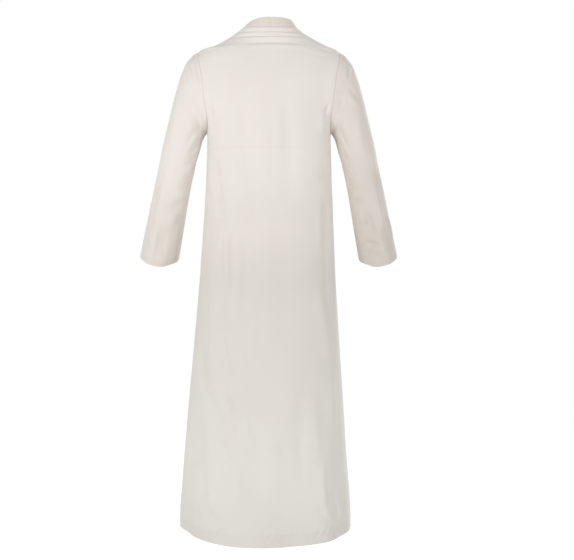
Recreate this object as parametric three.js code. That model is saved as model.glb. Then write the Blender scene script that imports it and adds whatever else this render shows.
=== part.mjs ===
// A man's long robe (qaba) as it hangs when worn: one back, two fronts that lap at the centre, two set-in
// sleeves, a narrow neck band in two halves, and two buttons. Millimetres, +Z up. The wearer faces -Y, so
// +Y is the back and +X the wearer's left. The origin is on the middle line of the shoulders, level with the
// points where the neck seam crosses the shoulder seams: the robe hangs from the shoulders beside it.
import * as THREE from "three";

const WALL = 2; // cloth with the turnings behind it
const SEAM_GAP = 0.3; // between neighbouring pieces
const HALF_TURN = Math.PI;
const QUARTER_TURN = Math.PI / 2;

// ---- Heights ----
const HEM = -1416;
const UNDERARM = -296;
const SHOULDER_TIP = -66;
const LAP_CORNER = -366; // where the slanting neck edge meets the upright front edge
const LAP_CORNER_DROP = 6; // how far the end of the neck band slants down across its width

// ---- Armhole: an egg-shaped loop that is widest below its middle ----
const ARMHOLE_MIDDLE = (SHOULDER_TIP + UNDERARM) / 2;
const ARMHOLE_HALF_HEIGHT = (SHOULDER_TIP - UNDERARM) / 2;
const ARMHOLE_BACK = 68; // how far the loop reaches behind the side line
const ARMHOLE_FRONT = 62;
const ARMHOLE_EGG = 0.12;
const ARMHOLE_STEPS = 12; // steps from shoulder tip to underarm, on each of the two sides
const ARMHOLE_REACH = 0.22; // share of the sleeve over which the armhole's own shape fades out

// Where body and sleeve turn gently they share one edge direction, so their end faces stay parallel. At
// the underarm the sleeve doubles back beside the body, and each keeps its own.
const GENTLE_TURN = 0.15;

// ---- Neck band ----
const BAND_WIDTH = 28;
const BAND_COLUMNS = 3;
const BAND_TOP = { z: 21.5, half: 63, back: 54, shift: -4 }; // free edge behind the neck
const BAND_SLANT = 0.34; // sideways travel of the neckline for each millimetre down
const STAND_LEAN = new THREE.Vector3(-0.6, -0.12, 0.79).normalize(); // of the left side's stand in front
const LIES_FLAT = -70; // height by which the band lies on the chest
const NECK_POINT_ANGLE = (5 * HALF_TURN) / 180; // width of the front's tip at the neck point
const NECK_DIP = 8; // the neck seam lies lower at the centre back than at its sides
const HEM_DIP = 15; // and so does the hem

// ---- Lap of the two fronts ----
const LAP_REACH = 61; // each front runs this far past the middle below the lap corner
const LAP_REACH_HEM = 76;
const LAP_LIFT = WALL + SEAM_GAP + 1.2; // the left front rides this far out over the right one

// ---- Mesh ----
const BACK_COLUMNS = 24;
const FRONT_COLUMNS = 12;
const SLEEVE_RINGS = 17;
const SKIRT_ROWS = 14; // from hem to lap corner
const BUTTON_SIDES = 20;
const HOLE_SIDES = 6;

// Level sections of the body. half is the half width, back and front the depths from the side line, square
// the roundness of the oval (2 is an ellipse), and shift the sideways place of its middle.
const BODY = [
  { z: 0, half: 79, back: 62, front: 58, square: 2.1, shift: -3 },
  { z: -13, half: 95, back: 67, front: 63, square: 2.1, shift: -3 },
  { z: -30, half: 121, back: 73, front: 70, square: 2.1, shift: -5 },
  { z: -53, half: 164.5, back: 81, front: 78, square: 2.05, shift: -6 },
  { z: -66, half: 198, back: 85.5, front: 83, square: 2.05, shift: -1 },
  { z: -100, half: 212, back: 96, front: 94, square: 2.2, shift: 0 },
  { z: -150, half: 214, back: 107, front: 106, square: 2.3, shift: 0 },
  { z: -181, half: 211, back: 110.5, front: 112, square: 2.35, shift: 0 },
  { z: -220, half: 202, back: 112.5, front: 117, square: 2.4, shift: 0 },
  { z: -266, half: 182, back: 113, front: 121, square: 2.5, shift: 0 },
  { z: -296, half: 175, back: 113, front: 122, square: 2.6, shift: 0 },
  { z: -400, half: 177.5, back: 113, front: 122, square: 2.5, shift: -0.5 },
  { z: -500, half: 182, back: 119, front: 124, square: 2.4, shift: 0.5 },
  { z: -570, half: 185.5, back: 126, front: 128, square: 2.3, shift: 1.5 },
  { z: -700, half: 192.5, back: 128, front: 134, square: 2.25, shift: 3.5 },
  { z: -850, half: 203.5, back: 131, front: 140, square: 2.2, shift: 5.5 },
  { z: -1000, half: 215, back: 139, front: 148, square: 2.15, shift: 7.5 },
  { z: -1200, half: 231, back: 157, front: 163, square: 2.1, shift: 10.5 },
  { z: HEM, half: 248, back: 181, front: 182, square: 2.05, shift: 12 },
];

// Soft folds of the body. from and to are the places round the body in degrees at the fold's top and bottom
// (0 the left side, 90 the centre back, 180 the right side, 270 the centre front), wide its half width in
// degrees, out its height off the cloth, below zero for a hollow.
const FOLDS = [
  { top: -350, bottom: -600, from: 20, to: 62, wide: 6, out: -3.5 },
  { top: -500, bottom: -930, from: 38, to: 42, wide: 7, out: 3.5 },
  { top: -540, bottom: -860, from: 51, to: 54, wide: 6, out: -3.5 },
  { top: -550, bottom: -900, from: 64, to: 64, wide: 6, out: 2.2 },
  { top: -520, bottom: -880, from: 74, to: 76, wide: 6, out: -2.2 },
  { top: -180, bottom: -610, from: 90, to: 89, wide: 8, out: 2 },
  { top: -240, bottom: -560, from: 75, to: 74, wide: 7, out: -2 },
  { top: -190, bottom: -530, from: 101, to: 103, wide: 7, out: -2 },
  { top: -200, bottom: -520, from: 60, to: 61, wide: 8, out: 1.8 },
  { top: -190, bottom: -520, from: 112, to: 114, wide: 8, out: 1.8 },
  { top: -430, bottom: -930, from: 146, to: 143, wide: 6, out: -5 },
  { top: -400, bottom: -950, from: 162, to: 158, wide: 8, out: 3.5 },
  { top: -900, bottom: -1170, from: 26, to: 58, wide: 6, out: -4 },
  { top: -890, bottom: -1140, from: 58, to: 73, wide: 6, out: -3 },
  { top: -980, bottom: -1600, from: 156, to: 158, wide: 9, out: 4 },
  { top: -1040, bottom: -1600, from: 140, to: 146, wide: 5, out: -4 },
  { top: -900, bottom: -2300, from: 128, to: 139, wide: 14, out: 15 },
  { top: -1080, bottom: -1600, from: 103, to: 101, wide: 9, out: -2.5 },
  { top: -1120, bottom: -1600, from: 72, to: 70, wide: 9, out: 3 },
  { top: -900, bottom: -2300, from: 36, to: 6, wide: 19, out: -18 },
  { top: -330, bottom: -760, from: 334, to: 316, wide: 7, out: -4 },
  { top: -420, bottom: -1600, from: 320, to: 322, wide: 8, out: 5 },
  { top: -560, bottom: -1600, from: 304, to: 302, wide: 7, out: -5 },
  { top: -330, bottom: -740, from: 207, to: 226, wide: 7, out: -4 },
  { top: -450, bottom: -1600, from: 218, to: 216, wide: 8, out: 5 },
  { top: -600, bottom: -1600, from: 232, to: 235, wide: 7, out: -4 },
];

// Level wrinkles of the back below the neck seam, where the cloth bunches. z is the height at the middle,
// droop how far the ends hang lower, reach the half length in degrees and wide the half width.
const NECK_WRINKLES = [
  { z: -6, droop: 1, reach: 74, wide: 3.2, out: 1.1 },
  { z: -15, droop: 2, reach: 70, wide: 3.6, out: -1.6 },
  { z: -21.5, droop: 2, reach: 64, wide: 3.4, out: 1.3 },
  { z: -29.5, droop: 3, reach: 70, wide: 3.8, out: -1.9 },
  { z: -37.5, droop: 3, reach: 58, wide: 5, out: 1.3 },
  { z: -53, droop: 4, reach: 52, wide: 6, out: -1.6 },
  { z: -66, droop: 5, reach: 48, wide: 8, out: 0.8 },
];
const SHOULDER_ROWS = [-60, -53, -45, -37.5, -29.5, -21.5, -15, -10, -5, 0];

// The neck seam of a front, from neck point to lap corner: its distance from the section's middle by height.
const NECKLINE = [
  { z: 0, x: 79 },
  { z: -10, x: 80 },
  { z: -37, x: 79 },
  { z: -66, x: 75 },
  { z: -100, x: 65 },
  { z: -150, x: 47.5 },
  { z: -200, x: 30 },
  { z: -296, x: -5 },
  { z: LAP_CORNER, x: -34 },
];

// Sections of the sleeve from armhole to cuff. Each is an oval ring through an outer and an inner point;
// back and front are its depths, y is its middle, and lean the tilt in degrees where the forearm bends.
const SLEEVE = [
  { outerX: 198, outerZ: -66, innerX: 176, innerZ: -296, y: 2, back: 66, front: 62, lean: 0 },
  { outerX: 215, outerZ: -75, innerX: 180, innerZ: -300, y: 2, back: 67, front: 64, lean: 0 },
  { outerX: 235, outerZ: -100, innerX: 184, innerZ: -307, y: 2, back: 68, front: 65, lean: 0 },
  { outerX: 248, outerZ: -130, innerX: 189, innerZ: -317, y: 2, back: 67, front: 65, lean: 0 },
  { outerX: 265, outerZ: -185, innerX: 195, innerZ: -339, y: 2, back: 66, front: 64, lean: 0 },
  { outerX: 282, outerZ: -253, innerX: 204, innerZ: -370, y: 1, back: 64, front: 62, lean: 0 },
  { outerX: 299, outerZ: -322, innerX: 213, innerZ: -406, y: -1, back: 62, front: 61, lean: 2 },
  { outerX: 313, outerZ: -387, innerX: 222, innerZ: -445, y: -7, back: 60, front: 59, lean: 6 },
  { outerX: 328, outerZ: -450, innerX: 231, innerZ: -489, y: -17, back: 58, front: 58, lean: 11 },
  { outerX: 344, outerZ: -516, innerX: 241, innerZ: -541, y: -33, back: 58, front: 58, lean: 16 },
  { outerX: 361, outerZ: -582, innerX: 252, innerZ: -597, y: -53, back: 58, front: 58, lean: 19 },
  { outerX: 377, outerZ: -645, innerX: 264, innerZ: -656, y: -75, back: 59, front: 59, lean: 21 },
];
const SLEEVE_SQUARE = 2.1;

// Folds of a sleeve. start and end are shares of its length, from and to degrees round it at those ends
// (0 the outer side, 90 the back, 180 the underarm, 270 the front). The last two are the pressed creases.
const SLEEVE_FOLDS = [
  { start: 0.05, end: 0.3, from: 168, to: 118, wide: 11, out: -5 },
  { start: 0.07, end: 0.3, from: 150, to: 92, wide: 10, out: 2.5 },
  { start: 0.08, end: 0.3, from: 192, to: 240, wide: 12, out: -5 },
  { start: 0.02, end: 0.17, from: 28, to: 14, wide: 12, out: -2.5 },
  { start: 0.3, end: 0.62, from: 172, to: 132, wide: 12, out: 2.5 },
  { start: 0.42, end: 0.68, from: 190, to: 140, wide: 12, out: -3.5 },
  { start: 0.46, end: 0.74, from: 200, to: 262, wide: 13, out: -3.5 },
  { start: 0.55, end: 0.8, from: 60, to: 30, wide: 13, out: -2 },
  { start: 0.66, end: 1.3, from: 120, to: 124, wide: 24, out: -4.5 },
  { start: 0.62, end: 1.3, from: 63, to: 63, wide: 13, out: 4.5 },
  { start: 0.62, end: 1.3, from: 245, to: 245, wide: 15, out: 4 },
];

// Buttons on the lapping edge of the left front.
const BUTTON = { radius: 8.5, thick: 3, hole: 1.1, holeRing: 2.4, inset: 17 };
const BUTTON_HEIGHTS = { front_button_upper: -394, front_button_lower: -520 };

const CLOTH = { color: 0xe6e1da, roughness: 0.85, metalness: 0 };
const SHELL = { color: 0xe9e3d6, roughness: 0.35, metalness: 0 };

const degrees = (angle) => (angle * 180) / HALF_TURN;
const radians = (angle) => (angle * HALF_TURN) / 180;

// Half steps over which a surface's direction is measured.
const ANGLE_PROBE = radians(0.4);
const HEIGHT_PROBE = 0.8;
const SLEEVE_PROBE = { place: radians(2), t: 0.008 };

// 0 at edge a, 1 at edge b, with a soft start and end.
function ease(a, b, value) {
  const t = Math.min(1, Math.max(0, (value - a) / (b - a)));
  return t * t * (3 - 2 * t);
}

// A smooth curve through one column of a table, without overshoot. The key column may rise or fall.
function curveThrough(table, key, column) {
  const rows = [...table].sort((a, b) => a[key] - b[key]);
  const at = rows.map((row) => row[key]);
  const value = rows.map((row) => row[column]);
  const step = at.slice(1).map((x, i) => (value[i + 1] - value[i]) / (x - at[i]));
  const slope = value.map((_, i) => {
    const before = step[Math.max(0, i - 1)];
    const after = step[Math.min(step.length - 1, i)];
    return before * after <= 0 ? 0 : (2 * before * after) / (before + after);
  });
  return (x) => {
    let i = 0;
    while (i < step.length - 1 && x > at[i + 1]) i++;
    const width = at[i + 1] - at[i];
    const t = Math.min(1, Math.max(0, (x - at[i]) / width));
    const rise = t * t * (3 - 2 * t);
    return (
      value[i] * (1 - rise) +
      value[i + 1] * rise +
      width * (slope[i] * t * (1 - t) ** 2 - slope[i + 1] * t * t * (1 - t))
    );
  };
}

function columnsOf(table, key) {
  const names = Object.keys(table[0]).filter((name) => name !== key);
  const curves = names.map((name) => [name, curveThrough(table, key, name)]);
  return (x) => Object.fromEntries(curves.map(([name, curve]) => [name, curve(x)]));
}

// The signed power that turns a circle into a rounder or squarer oval.
const ovalPower = (value, square) => Math.sign(value) * Math.abs(value) ** (2 / square);

// Height of all folds at one place: each is a soft ridge about a line that drifts from one end to the other.
function foldHeight(folds, start, end, along, around) {
  return folds.reduce((sum, fold) => {
    const t = (along - fold[start]) / (fold[end] - fold[start]);
    if (t <= 0 || t >= 1) return sum;
    const away = around - (fold.from + (fold.to - fold.from) * t);
    const turn = away - 360 * Math.round(away / 360);
    const fade = ease(0, 0.3, t) * ease(1, 0.75, t);
    return sum + fold.out * fade * Math.exp(-((turn / fold.wide) ** 2));
  }, 0);
}

function wrinkleHeight(height, around) {
  return NECK_WRINKLES.reduce((sum, wrinkle) => {
    const share = (around - 90) / wrinkle.reach;
    if (Math.abs(share) >= 1) return sum;
    const away = height - (wrinkle.z - wrinkle.droop * share * share);
    return sum + wrinkle.out * (1 - share * share) * Math.exp(-((away / wrinkle.wide) ** 2));
  }, 0);
}

// ---- The body surface ----
const sectionAt = columnsOf(BODY, "z");

function bodyOval(angle, height) {
  const section = sectionAt(height);
  const across = Math.cos(angle);
  const deep = Math.sin(angle);
  const behind = Math.max(0, deep) ** 2;
  const dip = NECK_DIP * ease(-90, 0, height) + HEM_DIP * ease(-900, HEM, height);
  return new THREE.Vector3(
    section.shift + section.half * ovalPower(across, section.square),
    (deep > 0 ? section.back : section.front) * ovalPower(deep, section.square),
    height - dip * behind,
  );
}

function normalOf(surface, u, v, du, dv) {
  const alongU = surface(u + du, v).sub(surface(u - du, v));
  const alongV = surface(u, v + dv).sub(surface(u, v - dv));
  return alongU.cross(alongV).normalize();
}

const ovalNormal = (angle, height) => normalOf(bodyOval, angle, height, ANGLE_PROBE, HEIGHT_PROBE);

function bodyPoint(angle, height) {
  const around = (degrees(angle) + 360) % 360;
  const out = foldHeight(FOLDS, "top", "bottom", height, around) + wrinkleHeight(height, around);
  return bodyOval(angle, height).addScaledVector(ovalNormal(angle, height), out);
}

const bodyNormal = (angle, height) => normalOf(bodyPoint, angle, height, ANGLE_PROBE, HEIGHT_PROBE);

// The angle of the body oval at a distance x from the section's middle, on the front half.
function frontAngleAt(x, height) {
  const { half, square } = sectionAt(height);
  const share = Math.min(1, Math.abs(x) / half) ** (square / 2);
  return -Math.acos(Math.sign(x) * share);
}

// The angle from the side line to the armhole's edge, at a place of the loop (0 shoulder tip, PI underarm).
function armholeAngle(place, depth, reach, square) {
  const y = reach * Math.sin(place) * (1 - ARMHOLE_EGG * Math.cos(place));
  return Math.asin(Math.max(0, y / depth) ** (square / 2));
}

const armholeHeight = (place) => ARMHOLE_MIDDLE + ARMHOLE_HALF_HEIGHT * Math.cos(place);

// How far the cloth at a given height stops short of the side line, behind it and in front of it.
function sideAngles(height) {
  if (height <= UNDERARM || height >= SHOULDER_TIP) return { back: 0, front: 0 };
  const place = Math.acos((height - ARMHOLE_MIDDLE) / ARMHOLE_HALF_HEIGHT);
  const { back, front, square } = sectionAt(height);
  return {
    back: armholeAngle(place, back, ARMHOLE_BACK, square),
    front: armholeAngle(place, front, ARMHOLE_FRONT, square),
  };
}

const onSide = (side, angle) => (side > 0 ? angle : HALF_TURN - angle);

// ---- The sleeve surface ----
const sleeveKeys = SLEEVE.map((row, i) => ({ ...row, t: i / (SLEEVE.length - 1) }));
const sleeveAt = columnsOf(sleeveKeys, "t");

function sleeveRing(side, place, t) {
  const ring = sleeveAt(t);
  const outward = ovalPower(Math.cos(place), SLEEVE_SQUARE) / 2;
  const deep = ovalPower(Math.sin(place), SLEEVE_SQUARE);
  const depth = deep * (deep > 0 ? ring.back : ring.front);
  const lean = radians(ring.lean);
  return new THREE.Vector3(
    side * ((ring.outerX + ring.innerX) / 2 + (ring.outerX - ring.innerX) * outward),
    ring.y + depth * Math.cos(lean),
    (ring.outerZ + ring.innerZ) / 2 + (ring.outerZ - ring.innerZ) * outward - depth * Math.sin(lean),
  );
}

// The armhole's edge on the body, at a place from 0 at the shoulder tip, PI at the underarm, to 2 PI.
function armholeEdge(side, place) {
  const height = armholeHeight(place);
  const angles = sideAngles(height);
  const angle = Math.sin(place) >= 0 ? angles.back : -angles.front;
  return { angle: onSide(side, angle), height };
}

function sleeveSmooth(side, place, t) {
  const { angle, height } = armholeEdge(side, place);
  const seated = bodyPoint(angle, height).sub(sleeveRing(side, place, 0));
  return sleeveRing(side, place, t).addScaledVector(seated, 1 - ease(0, ARMHOLE_REACH, t));
}

function sleeveNormalOf(surface, side, place, t) {
  const on = (u, v) => surface(side, u, Math.min(1, Math.max(0, v)));
  return normalOf(on, place, t, SLEEVE_PROBE.place, SLEEVE_PROBE.t).multiplyScalar(-side);
}

function sleevePoint(side, place, t) {
  const around = (degrees(place) + 360) % 360;
  const out = foldHeight(SLEEVE_FOLDS, "start", "end", t, around);
  return sleeveSmooth(side, place, t).addScaledVector(sleeveNormalOf(sleeveSmooth, side, place, t), out);
}

const sleeveNormal = (side, place, t) => sleeveNormalOf(sleevePoint, side, place, t);

// The directions of body and sleeve at their seam.
function armholeSeam(side, place) {
  const { angle, height } = armholeEdge(side, place);
  const body = bodyNormal(angle, height);
  const sleeve = sleeveNormal(side, place, 0);
  const gentle = body.dot(sleeve) > GENTLE_TURN;
  const shared = body.clone().add(sleeve).normalize();
  return {
    body: gentle ? shared : body,
    sleeve: gentle ? shared : sleeve,
    away: gentle ? null : body,
  };
}

// ---- Walls ----
// A closed wall from a grid of places {point, normal}: the points are its outside, and its inside lies
// WALL behind them. A looped grid closes on itself across its columns.
function wallGeometry(grid, looped = false) {
  const rows = grid.length;
  const columns = grid[0].length;
  const outside = grid.flat().map(({ point }) => point);
  const inside = grid.flat().map(({ point, normal }) => point.clone().addScaledVector(normal, -WALL));
  const index = [];
  const at = (i, j) => i * columns + (j % columns);
  const innerAt = (i, j) => rows * columns + at(i, j);
  const quad = (a, b, c, d) => index.push(a, b, c, a, c, d);
  const cells = looped ? columns : columns - 1;
  for (let j = 0; j < cells; j++) {
    for (let i = 0; i < rows - 1; i++) {
      quad(at(i, j), at(i, j + 1), at(i + 1, j + 1), at(i + 1, j));
      quad(innerAt(i, j), innerAt(i + 1, j), innerAt(i + 1, j + 1), innerAt(i, j + 1));
    }
    quad(innerAt(0, j), innerAt(0, j + 1), at(0, j + 1), at(0, j));
    quad(at(rows - 1, j), at(rows - 1, j + 1), innerAt(rows - 1, j + 1), innerAt(rows - 1, j));
  }
  for (let i = 0; i < rows - 1 && !looped; i++) {
    quad(at(i, 0), at(i + 1, 0), innerAt(i + 1, 0), innerAt(i, 0));
    quad(innerAt(i, cells), innerAt(i + 1, cells), at(i + 1, cells), at(i, cells));
  }
  const geometry = new THREE.BufferGeometry().setFromPoints([...outside, ...inside]);
  return geometry.setIndex(facingOut(outside.concat(inside), index));
}

// Turns every triangle round when the closed surface they make is inside out.
function facingOut(points, index) {
  let volume = 0;
  for (let i = 0; i < index.length; i += 3) {
    const [a, b, c] = index.slice(i, i + 3).map((k) => points[k]);
    volume += a.dot(b.clone().cross(c));
  }
  return volume > 0 ? index : [...index].reverse();
}

// Draws an edge of a grid back from its seam, by half the gap where both sides do so.
function drawBack(edge, next, gap = SEAM_GAP / 2) {
  edge.forEach((place, i) => {
    const inward = next[i].point.clone().sub(place.point);
    const step = Math.min(gap, inward.length() / 4);
    place.point = place.point.clone().addScaledVector(inward.normalize(), step);
  });
}

const column = (grid, j) => grid.map((row) => row.at(j));

// Heights of the rows that back and fronts share, from hem to neck, so that their seam edges match.
function rowHeights() {
  const skirt = Array.from({ length: SKIRT_ROWS + 1 }, (_, i) => HEM + ((LAP_CORNER - HEM) * i) / SKIRT_ROWS);
  const chest = [(LAP_CORNER + UNDERARM) / 2];
  const armhole = Array.from({ length: ARMHOLE_STEPS + 1 }, (_, k) =>
    armholeHeight(HALF_TURN * (1 - k / ARMHOLE_STEPS)),
  );
  return [...skirt, ...chest, ...armhole, ...SHOULDER_ROWS];
}
const ROWS = rowHeights();

// The place of a panel's side edge, with the armhole's shared edge direction where the sleeve meets it.
function withArmholeEdge(place, side, front, height) {
  if (height < UNDERARM - 1e-6 || height > SHOULDER_TIP + 1e-6) return place;
  const turn = Math.acos(Math.min(1, Math.max(-1, (height - ARMHOLE_MIDDLE) / ARMHOLE_HALF_HEIGHT)));
  const seam = armholeSeam(side, front ? 2 * HALF_TURN - turn : turn);
  return { point: place.point, normal: seam.body };
}

function backGrid() {
  const grid = ROWS.map((height) => {
    const first = sideAngles(height).back;
    const row = Array.from({ length: BACK_COLUMNS + 1 }, (_, j) => {
      const angle = first + ((HALF_TURN - 2 * first) * j) / BACK_COLUMNS;
      return { point: bodyPoint(angle, height), normal: bodyNormal(angle, height) };
    });
    row[0] = withArmholeEdge(row[0], 1, false, height);
    row[BACK_COLUMNS] = withArmholeEdge(row[BACK_COLUMNS], -1, false, height);
    return row;
  });
  drawBack(column(grid, 0), column(grid, 1));
  drawBack(column(grid, -1), column(grid, -2));
  drawBack(grid.at(-1), grid.at(-2));
  return grid;
}

// How far a front lies out over the other one: only the left front does, from the crossing of the neck
// edges down, wherever the right front is beneath it.
function lapLift(side, point, height) {
  if (side < 0) return 0;
  const x = point.x - sectionAt(height).shift;
  return LAP_LIFT * ease(LAP_REACH_HEM + 70, LAP_REACH_HEM + 8, x) * ease(-90, -180, height);
}

const necklineX = curveThrough(NECKLINE, "z", "x");

// The free or neck edge of a front, as a distance from the middle on that front's own side.
function frontEdgeX(height) {
  if (height >= LAP_CORNER) return necklineX(height);
  const down = (LAP_CORNER - height) / (LAP_CORNER - HEM);
  return -(LAP_REACH + (LAP_REACH_HEM - LAP_REACH) * down);
}

// A place on a front, at an angle of the body oval; the right front mirrors the angle about the middle.
function frontPlace(side, angle, height) {
  const turned = side > 0 ? angle : -HALF_TURN - angle;
  const point = bodyPoint(turned, height);
  const normal = bodyNormal(turned, height);
  return { point: point.addScaledVector(normal, lapLift(side, point, height)), normal };
}

const frontEdgeAngle = (height) => Math.min(-NECK_POINT_ANGLE, frontAngleAt(frontEdgeX(height), height));

// The fronts have one more row than the back: the step under the end of the neck band.
const FRONT_ROWS = ROWS.flatMap((height) =>
  Math.abs(height - LAP_CORNER) < 1e-6 ? [LAP_CORNER - LAP_CORNER_DROP, LAP_CORNER] : [height],
);

function frontGrid(side) {
  const grid = FRONT_ROWS.map((height) => {
    const first = -sideAngles(height).front;
    const last = frontEdgeAngle(height);
    const row = Array.from({ length: FRONT_COLUMNS + 1 }, (_, j) =>
      frontPlace(side, first + ((last - first) * j) / FRONT_COLUMNS, height),
    );
    row[0] = withArmholeEdge(row[0], side, true, height);
    return row;
  });
  drawBack(column(grid, 0), column(grid, 1));
  drawBack(column(grid, -1), column(grid, -2));
  drawBack(grid.at(-1), grid.at(-2));
  return grid;
}

function sleeveGrid(side) {
  const places = Array.from({ length: 2 * ARMHOLE_STEPS }, (_, k) => (HALF_TURN * k) / ARMHOLE_STEPS);
  const grid = Array.from({ length: SLEEVE_RINGS + 1 }, (_, i) => {
    const t = i / SLEEVE_RINGS;
    return places.map((place) => ({
      point: sleevePoint(side, place, t),
      normal: sleeveNormal(side, place, t),
    }));
  });
  places.forEach((place, k) => {
    const seam = armholeSeam(side, place);
    const start = grid[0][k];
    const away = seam.away ?? grid[1][k].point.clone().sub(start.point).normalize();
    start.point = start.point.clone().addScaledVector(away, SEAM_GAP);
    start.normal = seam.sleeve;
  });
  return grid;
}

// ---- Neck band ----
// Behind the neck the band stands up from the seam; in front it lies on the chest beside the neckline.
function bandStand(side, angle) {
  const across = ovalPower(Math.cos(angle), BODY[0].square);
  const deep = ovalPower(Math.sin(angle), BODY[0].square);
  return new THREE.Vector3(BAND_TOP.shift + BAND_TOP.half * across, BAND_TOP.back * deep, BAND_TOP.z);
}

function bandFreeEdge(side, seam, height) {
  const lean = STAND_LEAN.clone();
  lean.x *= side;
  const standing = seam.point.clone().addScaledVector(lean, BAND_WIDTH);
  const run = Math.hypot(1, BAND_SLANT);
  const x = necklineX(height) - BAND_WIDTH / run;
  const lyingHeight = Math.min(-2, height + (BAND_WIDTH * BAND_SLANT) / run);
  const lying = frontPlace(side, frontAngleAt(x, lyingHeight), lyingHeight).point;
  return standing.lerp(lying, ease(0, LIES_FLAT, height));
}

// One line of the band across its width, from the seam to the free edge.
function bandLine(seam, free) {
  return Array.from({ length: BAND_COLUMNS + 1 }, (_, j) => seam.point.clone().lerp(free, j / BAND_COLUMNS));
}

function bandGrid(side) {
  const seams = [];
  const lines = [];
  for (let j = 0; j <= BACK_COLUMNS / 2; j++) {
    const angle = QUARTER_TURN * (1 - (2 * j) / BACK_COLUMNS);
    const turned = onSide(side, angle);
    const seam = { point: bodyPoint(turned, 0), normal: bodyNormal(turned, 0) };
    seams.push(seam);
    lines.push(bandLine(seam, bandStand(side, turned)));
  }
  const front = FRONT_ROWS.filter((height) => height >= LAP_CORNER).reverse();
  front.forEach((height) => {
    const seam = frontPlace(side, frontEdgeAngle(height), height);
    seams.push(seam);
    lines.push(bandLine(seam, bandFreeEdge(side, seam, height)));
  });
  return bandEnds(side, seams, lines);
}

// Slants the lower end to the lap corner, then gives every place its own direction.
function bandEnds(side, seams, lines) {
  const cornerHeight = LAP_CORNER - LAP_CORNER_DROP;
  const corner = frontPlace(side, frontEdgeAngle(cornerHeight), cornerHeight);
  const last = lines.length - 1;
  lines[last] = bandLine(seams[last], corner.point);
  const grid = lines.map((line, i) =>
    line.map((point, j) => {
      const before = lines[Math.max(0, i - 1)][j];
      const after = lines[Math.min(last, i + 1)][j];
      const inner = line[Math.max(0, j - 1)];
      const outer = line[Math.min(BAND_COLUMNS, j + 1)];
      const normal = after.clone().sub(before).cross(outer.clone().sub(inner)).normalize();
      return { point, normal: j === 0 ? seams[i].normal : normal.multiplyScalar(-side) };
    }),
  );
  grid[0].forEach((place) => {
    place.normal = place.normal.clone().setX(0).normalize();
  });
  grid[last].forEach((place) => {
    place.normal = corner.normal;
  });
  drawBack(column(grid, 0), column(grid, 1));
  drawBack(grid[0], grid[1]);
  drawBack(grid[last], grid[last - 1], SEAM_GAP);
  return grid;
}

// ---- Buttons ----
function buttonGeometry() {
  const outline = new THREE.Shape().absarc(0, 0, BUTTON.radius, 0, 2 * HALF_TURN);
  for (let k = 0; k < 4; k++) {
    const angle = QUARTER_TURN * (k + 0.5);
    const hole = new THREE.Path();
    const x = BUTTON.holeRing * Math.cos(angle);
    const y = BUTTON.holeRing * Math.sin(angle);
    for (let i = 0; i < HOLE_SIDES; i++) {
      const turn = (2 * HALF_TURN * i) / HOLE_SIDES;
      const corner = [x + BUTTON.hole * Math.cos(turn), y + BUTTON.hole * Math.sin(turn)];
      if (i === 0) hole.moveTo(...corner);
      else hole.lineTo(...corner);
    }
    outline.holes.push(hole);
  }
  const settings = { depth: BUTTON.thick, bevelEnabled: false, curveSegments: BUTTON_SIDES };
  return new THREE.ExtrudeGeometry(outline, settings);
}

function placeButton(mesh, height) {
  const seat = frontPlace(1, frontAngleAt(frontEdgeX(height) + BUTTON.inset, height), height);
  mesh.position.copy(seat.point).addScaledVector(seat.normal, 2 * SEAM_GAP);
  mesh.quaternion.setFromUnitVectors(new THREE.Vector3(0, 0, 1), seat.normal);
}

// ---- The robe ----
const robe = new THREE.Group();

function addPiece(name, geometry, finish) {
  const mesh = new THREE.Mesh(geometry, new THREE.MeshStandardMaterial(finish));
  mesh.name = name;
  robe.add(mesh);
  return mesh;
}

addPiece("back", wallGeometry(backGrid()), CLOTH);
addPiece("front_left", wallGeometry(frontGrid(1)), CLOTH);
addPiece("front_right", wallGeometry(frontGrid(-1)), CLOTH);
addPiece("sleeve_left", wallGeometry(sleeveGrid(1), true), CLOTH);
addPiece("sleeve_right", wallGeometry(sleeveGrid(-1), true), CLOTH);
addPiece("neck_band_left", wallGeometry(bandGrid(1)), CLOTH);
addPiece("neck_band_right", wallGeometry(bandGrid(-1)), CLOTH);
for (const [name, height] of Object.entries(BUTTON_HEIGHTS)) {
  placeButton(addPiece(name, buttonGeometry(), SHELL), height);
}

export default robe;
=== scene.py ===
import math

import bpy
import numpy as np
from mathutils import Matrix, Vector


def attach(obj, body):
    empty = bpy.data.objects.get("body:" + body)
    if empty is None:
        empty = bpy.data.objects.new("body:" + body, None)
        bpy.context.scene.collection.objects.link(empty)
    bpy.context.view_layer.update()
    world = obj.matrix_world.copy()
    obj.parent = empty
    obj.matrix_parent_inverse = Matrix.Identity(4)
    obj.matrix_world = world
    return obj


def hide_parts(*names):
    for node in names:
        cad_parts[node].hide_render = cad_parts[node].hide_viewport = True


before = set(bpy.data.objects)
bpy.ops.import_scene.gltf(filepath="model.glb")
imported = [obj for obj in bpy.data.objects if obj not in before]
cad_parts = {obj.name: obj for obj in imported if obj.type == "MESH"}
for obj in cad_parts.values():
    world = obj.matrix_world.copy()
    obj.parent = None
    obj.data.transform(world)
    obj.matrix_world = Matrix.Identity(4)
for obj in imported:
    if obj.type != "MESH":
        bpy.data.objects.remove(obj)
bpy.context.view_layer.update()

MM = 0.001
CLOTH = 1.3  # thickness of one layer
SEAM_GAP = 0.08  # between neighbouring pieces
HEM = -1416
UNDERARM = -296
SHOULDER_TIP = -66
LAP_CORNER = -366
LAP_CORNER_DROP = 6
ARMHOLE_MIDDLE = (SHOULDER_TIP + UNDERARM) / 2
ARMHOLE_HALF_HEIGHT = (SHOULDER_TIP - UNDERARM) / 2
ARMHOLE_BACK = 68
ARMHOLE_FRONT = 62
ARMHOLE_EGG = 0.12  # how much wider the armhole is low down than high up
BAND_WIDTH = 28
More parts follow.
